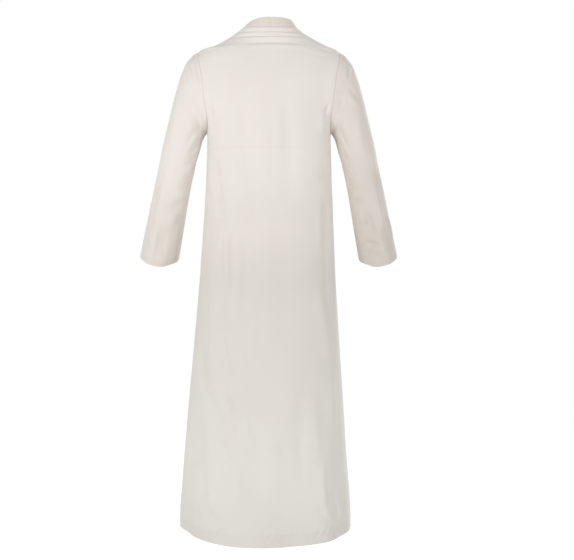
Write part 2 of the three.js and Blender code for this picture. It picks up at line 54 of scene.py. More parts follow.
NECK_DIP = 8  # how much lower neck seam and hem hang at the centre back than at the sides
HEM_DIP = 15
NECK_LEAN = -3  # how far the neck's middle is off centre; in front it comes back evenly by this height:
LEAN_ENDS = -120
LAP_REACH = 61  # how far a front reaches past the centre line, at its corner and at the hem
LAP_REACH_HEM = 76
LAP_LIFT = 3.5  # how far the upper front rides out over the lower one
LAP_SETTLES = 0.25  # share of that lift that goes again below the upper button
LAP_HEM_LIFT = 0.85  # share of it that the turned hems add
FRONT_RIPPLE_SHIFT, FRONT_DRAPE_SHIFT = 70, 60  # so that the fronts don't repeat the back
HEM_TURNING = 29  # cloth folded up inside the hem
HEM_PUCKER = 1.3  # height of the ripples along the hem
HEM_DENT = 0.35  # how deep a row of hem stitches pulls the cloth in
HEM_TUCK, TUCK_REACH = 3, 70  # how far the hem's edge draws in, and from how high up
FOLD_GAP = 0.4  # between the cloth and its turning
CUFF_TURNING = 24
CUFF_DENT = 0.3
CUFF_CREASE = 100  # degrees round the sleeve where the pressed crease runs
CUFF_POINT = 7  # how far the cuff's edge hangs lower there
LINING_EDGE = -351  # lower edge of the half lining inside the back
LINING_STEP = 0.3
ARMHOLE_FILL = 7  # how far back and sleeve stand out together beside the shoulder blades
NECK_BUNCHING = 2.1  # how much stronger the neck wrinkles are than the soft form beneath them
DRAPE_DEPTH = 2.1  # how much stronger all the drape is than its tables say
ROLL_REACH = 1.6  # how far from a seam the cloth rolls in
FAR = 60.0  # stands for places with no seam near
EDGE_STITCH = 4  # rows of stitches run this far from the front edge and from the band's edges
BAND_STITCH = 2.3
BAND_TOP, BAND_HALF, BAND_BACK, BAND_SHIFT = 21.5, 63, 54, -4  # free edge of the neck band behind
BAND_SQUARE = 2.1  # how square its oval is, as in the tables of rings
BAND_LOW_SIDE = 4  # at the wearer's left the band stands this much lower, and closer in
BAND_STAND = (-0.6, -0.12, 0.79)  # which way the band stands beside the neck
BAND_SLANT = 0.34  # slope of the band's edge in front
BAND_ROUND = 0.5  # radius of its edges
SLEEVE_LENGTH = 600
SLEEVE_SQUARE = 2.1
ARMHOLE_REACH = 0.22  # share of the sleeve's length in which it takes up the armhole's shape
BUTTON_HEIGHTS = (-394, -520)
BUTTON_INSET = 17  # from the front edge
BUTTON_RADIUS, BUTTON_DEPTH, BUTTON_RIM, BUTTON_DISH, BUTTON_ROUND = 8.5, 3, 1.5, 0.8, 0.5
BUTTON_LIFT = 0.6  # off the cloth
HOLE_PLACE, HOLE_RADIUS = 2.4, 1.1  # the four holes of a button
THREAD_PLACE, THREAD_RADIUS, THREAD_LENGTH, THREAD_HEIGHT = 1.7, 0.55, 4.4, 2.35
SLIT = (-13, 7)  # ends of a buttonhole, from the button's middle


def rows_of(names, rows):
    """A table whose rows give their values by name."""
    names = names.split()
    return [dict(zip(names, row)) for row in rows]


# Level sections of the body: half width, depths behind and before the side line, how square the oval is,
# and the sideways place of its middle.
BODY = rows_of(
    "z half back front square shift",
    [
        (0, 79, 62, 58, 2.1, -3),
        (-13, 95, 67, 63, 2.1, -3),
        (-30, 121, 73, 70, 2.1, -5),
        (-53, 164.5, 81, 78, 2.05, -6),
        (-66, 198, 85.5, 83, 2.05, -1),
        (-100, 212, 96, 94, 2.2, 0),
        (-150, 214, 107, 106, 2.3, 0),
        (-181, 211, 110.5, 112, 2.35, 0),
        (-220, 202, 112.5, 117, 2.4, 0),
        (-266, 182, 113, 121, 2.5, 0),
        (-296, 175, 113, 122, 2.6, 0),
        (-400, 177.5, 113, 122, 2.5, -0.5),
        (-500, 182, 119, 124, 2.4, 0.5),
        (-570, 185.5, 126, 128, 2.3, 1.5),
        (-700, 192.5, 128, 134, 2.25, 3.5),
        (-850, 203.5, 131, 140, 2.2, 5.5),
        (-1000, 215, 139, 148, 2.15, 7.5),
        (-1200, 231, 157, 163, 2.1, 10.5),
        (HEM, 248, 181, 182, 2.05, 12),
    ],
)

# Large soft folds of the body. around and around_end are places round it in degrees (0 left side, 90 centre
# back, 180 right side, 270 centre front); wide is the half width in degrees and out the height.
FOLDS = rows_of(
    "start end around around_end wide out",
    [
        (-350, -600, 20, 62, 6, -3.5),
        (-500, -930, 38, 42, 7, 3.5),
        (-540, -860, 51, 54, 6, -3.5),
        (-550, -900, 64, 64, 6, 2.2),
        (-520, -880, 74, 76, 6, -2.2),
        (-180, -610, 90, 89, 8, 2),
        (-240, -560, 75, 74, 7, -2),
        (-190, -530, 101, 103, 7, -2),
        (-200, -520, 60, 61, 8, 1.8),
        (-190, -520, 112, 114, 8, 1.8),
        (-430, -930, 146, 143, 6, -1.6),
        (-400, -950, 162, 158, 8, 3.5),
        (-900, -1170, 26, 58, 6, -4),
        (-890, -1140, 58, 73, 6, -3),
        (-980, -1600, 156, 158, 9, 4),
        (-1040, -1600, 140, 146, 6, -1.2),
        (-900, -2300, 128, 139, 14, 15),
        (-1080, -1600, 103, 101, 9, -2.5),
        (-1120, -1600, 72, 70, 9, 3),
        (-900, -2300, 36, 6, 19, -18),
        (-1100, -1600, 34, 33, 8, 4),
        (-330, -760, 334, 316, 7, -4),
        (-420, -1600, 320, 322, 8, 5),
        (-560, -1600, 304, 302, 7, -5),
        (-330, -740, 207, 226, 7, -4),
        (-450, -1600, 218, 216, 8, 5),
        (-600, -1600, 232, 235, 7, -4),
    ],
)

# Wrinkles across the back below the neck seam.
NECK_WRINKLES = rows_of(
    "z droop middle reach wide out",
    [
        (-6, 1, 90, 74, 3.2, 1.1),
        (-15, 2, 93, 70, 3.6, -1.6),
        (-21.5, 2, 87, 60, 3.4, 1.2),
        (-29.5, 4, 94, 70, 3.8, -1.9),
        (-37.5, 4, 96, 54, 5, 1.3),
        (-53, 5, 92, 32, 6, -1.5),
        (-66, 6, 98, 30, 8, 0.8),
    ],
)

# How the back's cloth drapes: soft ridges and, below zero, hollows. Each runs through three places (x and
# height). wide is its half width, out its height off the cloth, and edge 2 for a soft crest or 1 for a sharp
# one. The same table, moved and mirrored, drapes the fronts.
BACK_DRAPE = rows_of(
    "x z x_mid z_mid x_end z_end wide out edge",
    [
        # shoulder blades and armholes
        (104, -58, 66, -72, 30, -84, 8, -0.4, 2),
        (-81, -51, -137, -65, -186, -79, 5, -0.9, 2),
        (-86, -70, -128, -82, -171, -89, 6, 0.5, 2),
        (-120, -84, -150, -92, -188, -96, 5, -0.6, 2),
        (100, -54, 141, -66, 184, -84, 5, -0.6, 2),
        (82, -70, 122, -82, 168, -96, 7, 0.2, 2),
        (167, -97, 130, -113, 91, -121, 9, -0.4, 2),
        (172, -205, 161, -240, 152, -270, 6, -2.4, 2),
        (172, -255, 165, -290, 159, -320, 9, 1.0, 2),
        (-172, -215, -160, -252, -147, -287, 6, -2.2, 2),
        (-160, -245, -150, -277, -144, -318, 11, 2.6, 2),
        (-141, -375, -159, -414, -147, -450, 15, -1.9, 2),
        # long folds of the upper back
        (85, -195, 77, -360, 71, -511, 13, 0.8, 2),
        (36, -305, 41, -442, 35, -580, 14, -0.8, 2),
        (3, -210, 8, -388, 8, -566, 13, 0.7, 2),
        (-30, -196, -30, -305, -33, -409, 13, 0.7, 2),
        (-57, -209, -55, -305, -57, -401, 13, -0.6, 2),
        (104, -345, 96, -400, 90, -455, 11, 0.7, 2),
        # the fold that starts under the left arm and runs down
        (170, -362, 150, -465, 133, -545, 10, 2.8, 1.5),
        (133, -535, 129, -647, 140, -812, 12, 3.0, 1.6),
        (158, -330, 138, -450, 122, -560, 10, -2.6, 2),
        (118, -573, 113, -660, 108, -784, 9, -2.0, 2),
        (79, -593, 79, -688, 82, -770, 8, 0.8, 2),
        (63, -593, 63, -667, 63, -743, 6, -0.6, 2),
        (46, -593, 49, -661, 46, -756, 7, 0.5, 2),
        (19, -770, 25, -851, 30, -906, 14, -1.2, 2),
        # right side
        (-142, -480, -141, -550, -144, -640, 9, 1.0, 2),
        (-163, -478, -157, -549, -154, -636, 8, -1.2, 2),
        (-126, -700, -156, -840, -172, -979, 16, 2.4, 2),
        (-172, -940, -176, -1090, -175, -1250, 16, 2.6, 2),
        (-112, -1000, -123, -1120, -127, -1250, 24, 2.2, 2),
        (-84, -1109, -86, -1189, -92, -1282, 16, -1.6, 2),
        (-150, -1195, -148, -1270, -160, -1345, 10, 1.8, 2),
        (-160, -1240, -162, -1290, -178, -1340, 11, -1.1, 2),
        (-138, -1300, -152, -1328, -170, -1362, 9, 1.4, 1.8),
        (-136, -1330, -152, -1356, -176, -1392, 8, -1.2, 2),
        (-180, -1300, -188, -1340, -200, -1385, 9, 1.6, 2),
        # lower left
        (192, -855, 180, -959, 153, -1040, 11, -2.4, 2),
        (156, -1025, 143, -1070, 122, -1112, 13, -2.2, 2),
        (129, -853, 120, -912, 101, -995, 11, -2.0, 2),
        (101, -980, 88, -1045, 70, -1092, 11, -2.0, 2),
        (165, -870, 154, -922, 135, -960, 12, 1.6, 2),
        (84, -880, 76, -917, 66, -952, 13, 1.5, 2),
        (117, -1015, 111, -1055, 100, -1098, 11, 1.8, 2),
        (70, -1062, 62, -1107, 56, -1150, 13, 1.5, 2),
        (142, -1140, 122, -1178, 108, -1215, 20, 2.4, 2),
        (172, -1135, 187, -1187, 206, -1243, 15, -1.8, 2),
        (122, -1205, 116, -1249, 113, -1294, 11, -1.6, 2),
        (83, -1228, 83, -1269, 78, -1312, 13, 1.6, 2),
        (168, -1285, 154, -1319, 136, -1350, 14, 2.0, 2),
        (214, -1295, 203, -1331, 186, -1370, 11, -2.2, 2),
        (27, -1103, 22, -1152, 19, -1198, 12, -1.3, 2),
        (-3, -1155, -19, -1186, -42, -1230, 18, 1.3, 2),
        # wide swellings and dips of the skirt
        (176, -1090, 150, -1200, 118, -1300, 34, 4.0, 2),
        (215, -1180, 205, -1290, 190, -1380, 26, 2.6, 2),
        (176, -1320, 150, -1370, 110, -1420, 22, -2.0, 2),
        (20, -1050, 30, -1200, 18, -1360, 34, -2.4, 2),
        (-70, -900, -60, -1080, -66, -1300, 36, 2.4, 2),
        (-196, -1260, -205, -1330, -212, -1430, 18, -3.0, 2),
        (10, -560, 0, -760, 8, -960, 40, 1.6, 2),
    ],
)

NECKLINE = rows_of(
    "z x",
    [
        (0, 79),
        (-10, 80),
        (-37, 79),
        (-66, 75),
        (-100, 65),
        (-150, 47.5),
        (-200, 30),
        (-296, -5),
        (LAP_CORNER, -34),
    ],
)

# Rings of a sleeve from armhole to cuff, through an outer and an inner point.
SLEEVE = rows_of(
    "outer_x outer_z inner_x inner_z y back front lean",
    [
        (198, -66, 176, -296, 2, 66, 62, 0),
        (215, -75, 180, -300, 2, 67, 64, 0),
        (235, -100, 184, -307, 2, 68, 65, 0),
        (248, -130, 189, -317, 2, 67, 65, 0),
        (265, -185, 195, -339, 2, 66, 64, 0),
        (282, -253, 204, -370, 1, 64, 62, 0),
        (299, -322, 213, -406, -1, 62, 61, 2),
        (313, -387, 222, -445, -7, 60, 59, 6),
        (328, -450, 231, -489, -17, 58, 58, 11),
        (344, -516, 241, -541, -33, 58, 58, 16),
        (361, -582, 252, -597, -53, 58, 58, 19),
        (377, -645, 264, -656, -75, 59, 59, 21),
    ],
)

# Soft folds of a sleeve: start and end are shares of its length; 0 degrees is its outer side, 90 the back.
SLEEVE_FOLDS = rows_of(
    "start end around around_end wide out",
    [
        (0.05, 0.3, 168, 118, 12, -2.2),
        (0.07, 0.3, 150, 92, 11, 1.2),
        (0.08, 0.3, 192, 240, 12, -5),
        (0.02, 0.17, 28, 14, 12, -2.5),
        (0.3, 0.62, 172, 132, 12, 1.5),
        (0.42, 0.68, 190, 140, 12, -1.8),
        (0.46, 0.74, 200, 262, 13, -3.5),
        (0.55, 0.8, 60, 30, 13, -2),
        (0.66, 1.3, 120, 124, 24, -4.5),
        (0.62, 1.3, 63, 63, 13, 4.5),
        (0.62, 1.3, 245, 245, 15, 4),
    ],
)
# How the sleeves' cloth drapes on the side behind, as for the back: pulls from the underarm, folds at the
# elbow and the pressed crease above the cuff.
LEFT_SLEEVE_DRAPE = rows_of(
    "x z x_mid z_mid x_end z_end wide out edge",
    [
        (236, -112, 229, -137, 225, -172, 5, -1.3, 2),
        (227, -112, 219, -140, 214, -172, 6, 0.8, 2),
        (220, -112, 211, -140, 203, -172, 5, -0.7, 2),
        (210, -112, 203, -144, 195, -182, 5, 0.7, 2),
        (200, -112, 196, -148, 188, -190, 4, -1.0, 2),
        (184, -287, 209, -309, 237, -353, 7, -1.3, 2),
        (190, -298, 210, -326, 236, -370, 7, 0.9, 1.6),
        (181, -309, 206, -343, 230, -385, 7, -1.1, 2),
        (192, -332, 214, -362, 240, -404, 8, 0.9, 1.6),
        (196, -353, 219, -380, 245, -420, 8, -1.0, 2),
        (206, -392, 232, -412, 262, -444, 10, 1.0, 2),
        (223, -450, 249, -461, 285, -462, 9, -0.9, 2),
        (226, -470, 252, -484, 288, -496, 9, 0.8, 1.8),
        (230, -489, 255, -506, 287, -531, 9, -1.0, 2),
        (233, -510, 258, -530, 290, -553, 9, 0.9, 1.8),
        (306, -440, 318, -470, 322, -520, 9, -1.4, 2),
        (322, -470, 334, -500, 338, -540, 8, 1.3, 2),
        (352, -600, 346, -630, 336, -664, 7, 1.5, 2),
        (236, -531, 259, -553, 291, -573, 9, -1.0, 2),
        (268, -190, 262, -260, 270, -330, 12, 1.2, 2),
        (253, -528, 268, -553, 283, -579, 13, 2.0, 2),
        (338, -528, 325, -556, 315, -590, 7, -1.7, 2),
        (350, -560, 338, -590, 326, -618, 8, 1.5, 1.6),
        (360, -596, 347, -618, 333, -638, 6, -1.6, 2),
        (288, -562, 301, -610, 308, -664, 18, -2.0, 2),
        (308, -545, 324, -613, 338, -680, 8, 2.0, 1),
    ],
)
RIGHT_SLEEVE_DRAPE = rows_of(
    "x z x_mid z_mid x_end z_end wide out edge",
    [
        (-222, -104, -226, -130, -224, -165, 5, -1.5, 2),
        (-232, -104, -238, -130, -238, -160, 5, 1.2, 2),
        (-215, -180, -240, -196, -262, -224, 9, -1.2, 2),
        (-212, -196, -236, -212, -256, -240, 9, 1.0, 2),
        (-232, -120, -240, -150, -262, -184, 8, -0.9, 2),
        (-203, -200, -204, -236, -201, -272, 8, -2.2, 2),
        (-187, -275, -206, -314, -227, -357, 7, -2.2, 2),
        (-188, -289, -206, -330, -229, -378, 7, 1.3, 1.6),
        (-190, -303, -206, -347, -231, -400, 7, -1.8, 2),
        (-197, -327, -215, -370, -241, -420, 8, 1.2, 1.6),
        (-204, -351, -225, -392, -252, -439, 8, -1.4, 2),
        (-250, -240, -254, -310, -268, -372, 12, 1.3, 2),
        (-292, -350, -296, -386, -306, -424, 9, 2.4, 1.6),
        (-306, -356, -309, -386, -318, -416, 7, -1.8, 2),
        (-224, -450, -247, -461, -281, -466, 8, -1.2, 2),
        (-228, -473, -252, -482, -284, -483, 8, 1.0, 1.6),
        (-233, -497, -256, -502, -285, -499, 8, -1.4, 2),
        (-251, -518, -263, -541, -281, -565, 11, 3.6, 1.6),
        (-271, -518, -289, -561, -296, -602, 12, -4.2, 2),
        (-300, -500, -316, -530, -322, -580, 10, 2.2, 1.6),
        (-273, -609, -294, -615, -324, -618, 7, -3.8, 2),
        (-287, -629, -309, -630, -337, -638, 7, 2.2, 1.6),
        (-290, -650, -315, -652, -340, -655, 6, -1.2, 2),
        (-328, -527, -344, -561, -357, -601, 8, -1.7, 2),
        (-340, -527, -355, -561, -366, -595, 7, 1.3, 2),
        (-304, -540, -322, -601, -339, -672, 7, 2.6, 1),
    ],
)


def ease(a, b, value):
    """Goes softly from 0 at a to 1 at b."""
    t = np.clip((value - a) / (b - a), 0, 1)
    return t * t * (3 - 2 * t)


def curve_through(table, key, column):
    """A smooth curve through one column of a table, without overshoot."""
    rows = sorted(table, key=lambda row: row[key])
    at = np.array([row[key] for row in rows], float)
    value = np.array([row[column] for row in rows], float)
    step = np.diff(value) / np.diff(at)
    before = np.concatenate([step[:1], step])
    after = np.concatenate([step, step[-1:]])
    same_way = before * after > 0
    slope = np.where(same_way, 2 * before * after / np.where(same_way, before + after, 1), 0)

    def curve(x):
        x = np.asarray(x, float)
        i = np.clip(np.searchsorted(at, x) - 1, 0, len(step) - 1)
        width = at[i + 1] - at[i]
        t = np.clip((x - at[i]) / width, 0, 1)
        rise = ease(0, 1, t)
        bend = slope[i] * t * (1 - t) ** 2 - slope[i + 1] * t * t * (1 - t)
        return value[i] * (1 - rise) + value[i + 1] * rise + width * bend

    return curve


def columns_of(table, key):
    """Smooth curves through all other columns of a table."""
    curves = {name: curve_through(table, key, name) for name in table[0] if name != key}
    return lambda x: {name: curve(x) for name, curve in curves.items()}


def oval_power(value, square):
    """Sine or cosine of an oval that is rounder at 2 and squarer above."""
    return np.sign(value) * np.abs(value) ** (2 / square)


def unit(vectors):
    return vectors / np.maximum(np.linalg.norm(vectors, axis=-1, keepdims=True), 1e-9)


def fold_height(folds, along, around):
    """Height of folds that run along the body or a sleeve, fading towards both ends."""
    total = np.zeros(np.broadcast(along, around).shape)
    for fold in folds:
        t = (along - fold["start"]) / (fold["end"] - fold["start"])
        away = around - (fold["around"] + (fold["around_end"] - fold["around"]) * t)
        turn = away - 360 * np.round(away / 360)
        fade = ease(0, 0.3, t) * ease(1, 0.75, t) * (t > 0) * (t < 1)
        total += fold["out"] * fade * np.exp(-((turn / fold["wide"]) ** 2))
    return total


def drape_height(folds, x, z):
    """Height of folds that each run through three places, fading towards both ends, steeper on the side
    that is lower or further towards the right arm."""
    total = np.zeros(x.shape)
    for fold in folds:
        start, middle, end = (np.array([fold["x" + k], fold["z" + k]], float) for k in ("", "_mid", "_end"))
        near, parts = 3 * fold["wide"], 12
        low, high = np.minimum(np.minimum(start, middle), end), np.maximum(np.maximum(start, middle), end)
        close = (x > low[0] - near) & (x < high[0] + near) & (z > low[1] - near) & (z < high[1] + near)
        if not close.any():
            continue
        t = np.linspace(0, 1, parts + 1)[:, None]
        line = start * (1 - t) * (1 - 2 * t) + middle * 4 * t * (1 - t) + end * t * (2 * t - 1)
        place = np.stack([x[close], z[close]], -1)
        best = np.full(len(place), 1e9)
        share = np.zeros(len(place))
        lower = np.zeros(len(place))
        for k, (a, b) in enumerate(zip(line[:-1], line[1:])):
            along = np.clip((place - a) @ (b - a) / ((b - a) @ (b - a)), 0, 1)
            offset = place - a - along[:, None] * (b - a)
            away = np.linalg.norm(offset, axis=1)
            closer = away < best
            best[closer] = away[closer]
            share[closer] = (k + along[closer]) / parts
            slant = -0.7 * (offset[closer, 0] + offset[closer, 1])
            lower[closer] = slant / np.maximum(away[closer], 0.1)
        fade = ease(0, 0.35, share) * ease(1, 0.65, share)
        wide = fold["wide"] * (1.15 - 0.45 * ease(-0.4, 0.4, lower))
        total[close] += DRAPE_DEPTH * fold["out"] * fade * np.exp(-((best / wide) ** fold["edge"]))
    return total


def wrinkle_height(height, around):
    total = np.zeros(np.broadcast(height, around).shape)
    for w in NECK_WRINKLES:
        share = (around - w["middle"]) / w["reach"]
        away = height - (w["z"] - w["droop"] * share**2)
        fade = np.maximum(0, 1 - share**2)
        total += w["out"] * fade * np.exp(-((away / w["wide"]) ** 2))
    return total


def unevenness(x, z, size, seed):
    """A gentle waviness that cloth always has, a few tenths of a millimetre."""
    total = 0
    for k in range(1, 7):
        turn = 2.4 * k + seed
        wave = size * (0.6 + 0.17 * k)
        along = x * math.cos(turn) + z * math.sin(turn)
        total = total + np.sin(along * 2 * math.pi / wave + 1.7 * k * seed)
    return total / 6


# ---- The body's surface ----
section_at = columns_of(BODY, "z")


def body_oval(angle, height):
    """The body without its folds. Its sections step sideways below the neck, but not in front, where the
    bands run straight."""
    s = section_at(height)
    across, deep = np.cos(angle), np.sin(angle)
    dip = NECK_DIP * ease(-90, 0, height) + HEM_DIP * ease(-900, HEM, height)
    even = NECK_LEAN * ease(LEAN_ENDS, 0, height)
    calm = np.where(height > LEAN_ENDS, even - s["shift"], 0) * ease(0, -0.6, deep)
    return np.stack(
        [
            s["shift"] + calm + s["half"] * oval_power(across, s["square"]),
            np.where(deep > 0, s["back"], s["front"]) * oval_power(deep, s["square"]),
            height - dip * np.maximum(0, deep) ** 2,
        ],
        -1,
    )


def normal_of(surface, u, v, du, dv):
    """Direction out of a surface, from small steps along it."""
    along_u = surface(u + du, v) - surface(u - du, v)
    along_v = surface(u, v + dv) - surface(u, v - dv)
    return unit(np.cross(along_u, along_v))


def body_normal(angle, height):
    return normal_of(body_oval, angle, height, math.radians(0.4), 0.8)


def body_point(angle, height):
    """The body with its large folds and neck wrinkles, and fuller beside the armholes behind."""
    angle, height = np.broadcast_arrays(np.asarray(angle, float), np.asarray(height, float))
    around = np.degrees(angle) % 360
    out = fold_height(FOLDS, height, around) + wrinkle_height(height, around) * NECK_BUNCHING
    out = out + 0.35 * unevenness(around * 3.3, height, 90, 1)
    edge = np.degrees(side_angles(height)[0])
    from_edge = np.abs(np.abs(around - 90) - (90 - edge))
    blades = ease(SHOULDER_TIP, -120, height) * ease(-285, -190, height) * (around < 180)
    out = out + ARMHOLE_FILL * blades * np.exp(-((from_edge / 9) ** 2))
    return body_oval(angle, height) + body_normal(angle, height) * out[..., None]


neckline_x = curve_through(NECKLINE, "z", "x")


def front_angle_at(x, height):
    """The angle on the body's front whose sideways place is x."""
    s = section_at(height)
    share = np.minimum(1, np.abs(x) / s["half"]) ** (s["square"] / 2)
    return -np.arccos(np.sign(x) * share)


def front_edge_x(height):
    """The front's edge: the neckline down to the lap corner, and nearly upright below it."""
    down = (LAP_CORNER - height) / (LAP_CORNER - HEM)
    upright = -(LAP_REACH + (LAP_REACH_HEM - LAP_REACH) * down)
    return np.where(np.asarray(height) >= LAP_CORNER - 0.01, neckline_x(height), upright)


def front_edge_angle(height):
    return np.minimum(-math.radians(5), front_angle_at(front_edge_x(height), height))


def front_place(side, angle, height):
    """Places on a front. The left front rides out over the right one where they lap: a little less below the
    upper button, and clear of the other's turned hem at the bottom."""
    turned = angle if side > 0 else -math.pi - angle
    points, normals = body_point(turned, height), body_normal(turned, height)
    if side > 0:
        # it rises from 70 to 8 mm outside the other front's edge
        x = points[..., 0] - section_at(height)["shift"]
        lift = LAP_LIFT * ease(LAP_REACH_HEM + 70, LAP_REACH_HEM + 8, x) * ease(-90, -180, height)
        settled, hemmed = ease(-380, -520, height), ease(HEM + 90, HEM + 34, height)
        lift = lift * (1 - LAP_SETTLES * settled + LAP_HEM_LIFT * hemmed)
        points = points + normals * lift[..., None]
    return points, normals


def side_angles(height):
    """How far back and fronts stop short of the side line, where the armhole is."""
    height = np.asarray(height, float)
    s = section_at(height)
    place = np.arccos(np.clip((height - ARMHOLE_MIDDLE) / ARMHOLE_HALF_HEIGHT, -1, 1))

    def angle(reach, depth):
        y = reach * np.sin(place) * (1 - ARMHOLE_EGG * np.cos(place))
        return np.arcsin(np.maximum(0, y / depth) ** (s["square"] / 2))

    return angle(ARMHOLE_BACK, s["back"]), angle(ARMHOLE_FRONT, s["front"])


def on_side(side, angle):
    return angle if side > 0 else math.pi - angle


# ---- The sleeve's surface ----
sleeve_at = columns_of([{**row, "t": i / (len(SLEEVE) - 1)} for i, row in enumerate(SLEEVE)], "t")


def sleeve_ring(side, place, t):
    """A sleeve without its folds: `place` is the angle round it and `t` the share of its length."""
    ring = sleeve_at(t)
    outward = oval_power(np.cos(place), SLEEVE_SQUARE) / 2
    deep = oval_power(np.sin(place), SLEEVE_SQUARE)
    depth = deep * np.where(deep > 0, ring["back"], ring["front"])
    lean = np.radians(ring["lean"])
    return np.stack(
        [
            side * ((ring["outer_x"] + ring["inner_x"]) / 2 + (ring["outer_x"] - ring["inner_x"]) * outward),
            ring["y"] + depth * np.cos(lean),
            (ring["outer_z"] + ring["inner_z"]) / 2
            + (ring["outer_z"] - ring["inner_z"]) * outward
            - depth * np.sin(lean),
        ],
        -1,
    )


def armhole_edge(side, place):
    """The edge that back and front leave open for the sleeve."""
    height = ARMHOLE_MIDDLE + ARMHOLE_HALF_HEIGHT * np.cos(place)
    back, front = side_angles(height)
    return body_point(on_side(side, np.where(np.sin(place) >= 0, back, -front)), height)


def sleeve_smooth(side, place, t):
    """The sleeve's rings, drawn over to the armhole's edge near the top."""
    seated = armhole_edge(side, place) - sleeve_ring(side, place, 0 * t)
    return sleeve_ring(side, place, t) + seated * (1 - ease(0, ARMHOLE_REACH, t))[..., None]


def sleeve_grid_points(side, places, shares):
    """The sleeve with its folds, its drape and the point of its cuff."""
    place, t = np.meshgrid(places, shares)

    def surface(u, v):
        return sleeve_smooth(side, u, np.clip(v, 0, 1))

    normal = -side * normal_of(surface, place, t, math.radians(2), 0.008)
    around = np.degrees(place) % 360
    points = sleeve_smooth(side, place, t)
    crease = np.exp(-(((around - CUFF_CREASE) / 34) ** 2))
    points[..., 2] -= CUFF_POINT * crease * ease(0.88, 1, t)
    out = fold_height(SLEEVE_FOLDS, t, around)
    out = out + 0.3 * unevenness(around * 1.06, t * SLEEVE_LENGTH, 70, 2 + side)
    # each sleeve is draped behind by its own table, and in front by the other's, mirrored
    behind, before = LEFT_SLEEVE_DRAPE, RIGHT_SLEEVE_DRAPE
    if side < 0:
        behind, before = before, behind
    x, z = points[..., 0], points[..., 2]
    facing = normal[..., 1]
    out = out + drape_height(behind, x, z) * ease(0, 0.45, facing) * ease(0, 0.03, t)
    out = out + drape_height(before, -x, z) * ease(0, -0.45, facing) * ease(0, 0.03, t)
    return points + normal * out[..., None], normal


# ---- Shells ----
def lengths_along(points, axis):
    """How far along the cloth each place of a grid is from the grid's first row or column."""
    step = np.linalg.norm(np.diff(points, axis=axis), axis=-1)
    start = np.zeros_like(np.take(step, [0], axis))
    return np.cumsum(np.concatenate([start, step], axis), axis)


def draw_back(points, edge, beside, gap=SEAM_GAP / 2):
    """Leaves room for the neighbour at a seam."""
    points[edge] += unit(points[beside] - points[edge]) * gap


def draw_back_edges(points):
    draw_back(points, np.s_[:, 0], np.s_[:, 1])
    draw_back(points, np.s_[:, -1], np.s_[:, -2])
    draw_back(points, np.s_[-1], np.s_[-2])


def dent(distance, deep, wide=ROLL_REACH):
    """How far the cloth sinks beside a seam or under a row of stitches."""
    return -deep * np.exp(-((distance / wide) ** 2))


def row_at(points, normals, distance):
    """The row of places where a distance comes nearest to nothing."""
    k = int(np.argmin(np.abs(distance)))
    return points[k], normals[k]


def turned_hem(points, normals, start):
    """The grid with the cloth below its first row folded inside and up as far as row `start`."""
    layer = 2 * CLOTH + FOLD_GAP
    inside = points[1 : start + 1][::-1] - normals[1 : start + 1][::-1] * layer
    down = unit(points[0] - points[1])
    bend = []
    for turn in (math.pi, 0.75 * math.pi, 0.5 * math.pi, 0.25 * math.pi):
        rise = down * (layer / 2 * math.sin(turn) - layer / 2)
        bend.append(points[0] + rise - normals[0] * layer / 2 * (1 - math.cos(turn)))
    edge = points[0] - down * layer / 2
    return np.concatenate([inside, np.stack(bend), edge[None], points[1:]]), start + 5


def add_hemmed_shell(name, points, normals, seams, turned_rows, welded=False):
    points, extra = turned_hem(points, normals, turned_rows)
    seams = np.concatenate([np.full((extra, seams.shape[1]), FAR), seams[1:]])
    return add_shell(name, points, normals, seams, welded=welded, hem_rows=extra)


def add_shell(name, points, normals, seams, thickness=CLOTH, welded=False, hem_rows=0):
    """Makes a cloth shell whose outside is the grid, with its own flat map in metres and, at each place, how
    many millimetres away the nearest seam is."""
    rows, columns = points.shape[:2]
    i, j = np.meshgrid(np.arange(rows - 1), np.arange(columns - 1), indexing="ij")
    corner = i * columns + j
    quads = np.stack([corner, corner + 1, corner + columns + 1, corner + columns], -1).reshape(-1, 4)
    flat = points.reshape(-1, 3)
    middle = hem_rows + (rows - hem_rows) // 2
    centre = columns // 2
    a, b, c = points[middle, centre], points[middle, centre + 1], points[middle + 1, centre]
    if np.dot(np.cross(b - a, c - a), normals[middle - hem_rows, centre]) < 0:
        quads = quads[:, ::-1]
    mesh = bpy.data.meshes.new(name)
    mesh.from_pydata((flat * MM).tolist(), [], quads.tolist())
    width = lengths_along(points, 1)
    width = width - width[:, centre : centre + 1]
    length = lengths_along(points, 0)
    length = np.repeat(length[:, centre : centre + 1], columns, 1)
    uv = np.stack([width, length], -1).reshape(-1, 2) * MM
    layer = mesh.uv_layers.new(name="cloth")
    loops = np.zeros(len(mesh.loops), np.int32)
    mesh.loops.foreach_get("vertex_index", loops)
    layer.data.foreach_set("uv", uv[loops].astype(np.float32).ravel())
    seam = mesh.attributes.new("seam", "FLOAT", "POINT")
    seam.data.foreach_set("value", seams.reshape(-1).astype(np.float32))
    mesh.polygons.foreach_set("use_smooth", np.ones(len(mesh.polygons), bool))
    mesh.update()
    shell = bpy.data.objects.new(name, mesh)
    bpy.context.scene.collection.objects.link(shell)
    if welded:
        only(shell)
        bpy.ops.object.mode_set(mode="EDIT")
        bpy.ops.mesh.select_all(action="SELECT")
        bpy.ops.mesh.remove_doubles(threshold=0.00001)
        bpy.ops.object.mode_set(mode="OBJECT")
    apply_modifier(shell, "SOLIDIFY", thickness=thickness * MM, offset=-1, use_rim=True)
    shade_by_angle(shell, 50)
    return shell


def only(thing):
    bpy.ops.object.select_all(action="DESELECT")
    thing.select_set(True)
    bpy.context.view_layer.objects.active = thing


def apply_modifier(thing, kind, **settings):
    only(thing)
    modifier = thing.modifiers.new(kind.lower(), kind)
    for key, value in settings.items():
        setattr(modifier, key, value)
    bpy.ops.object.modifier_apply(modifier=modifier.name)


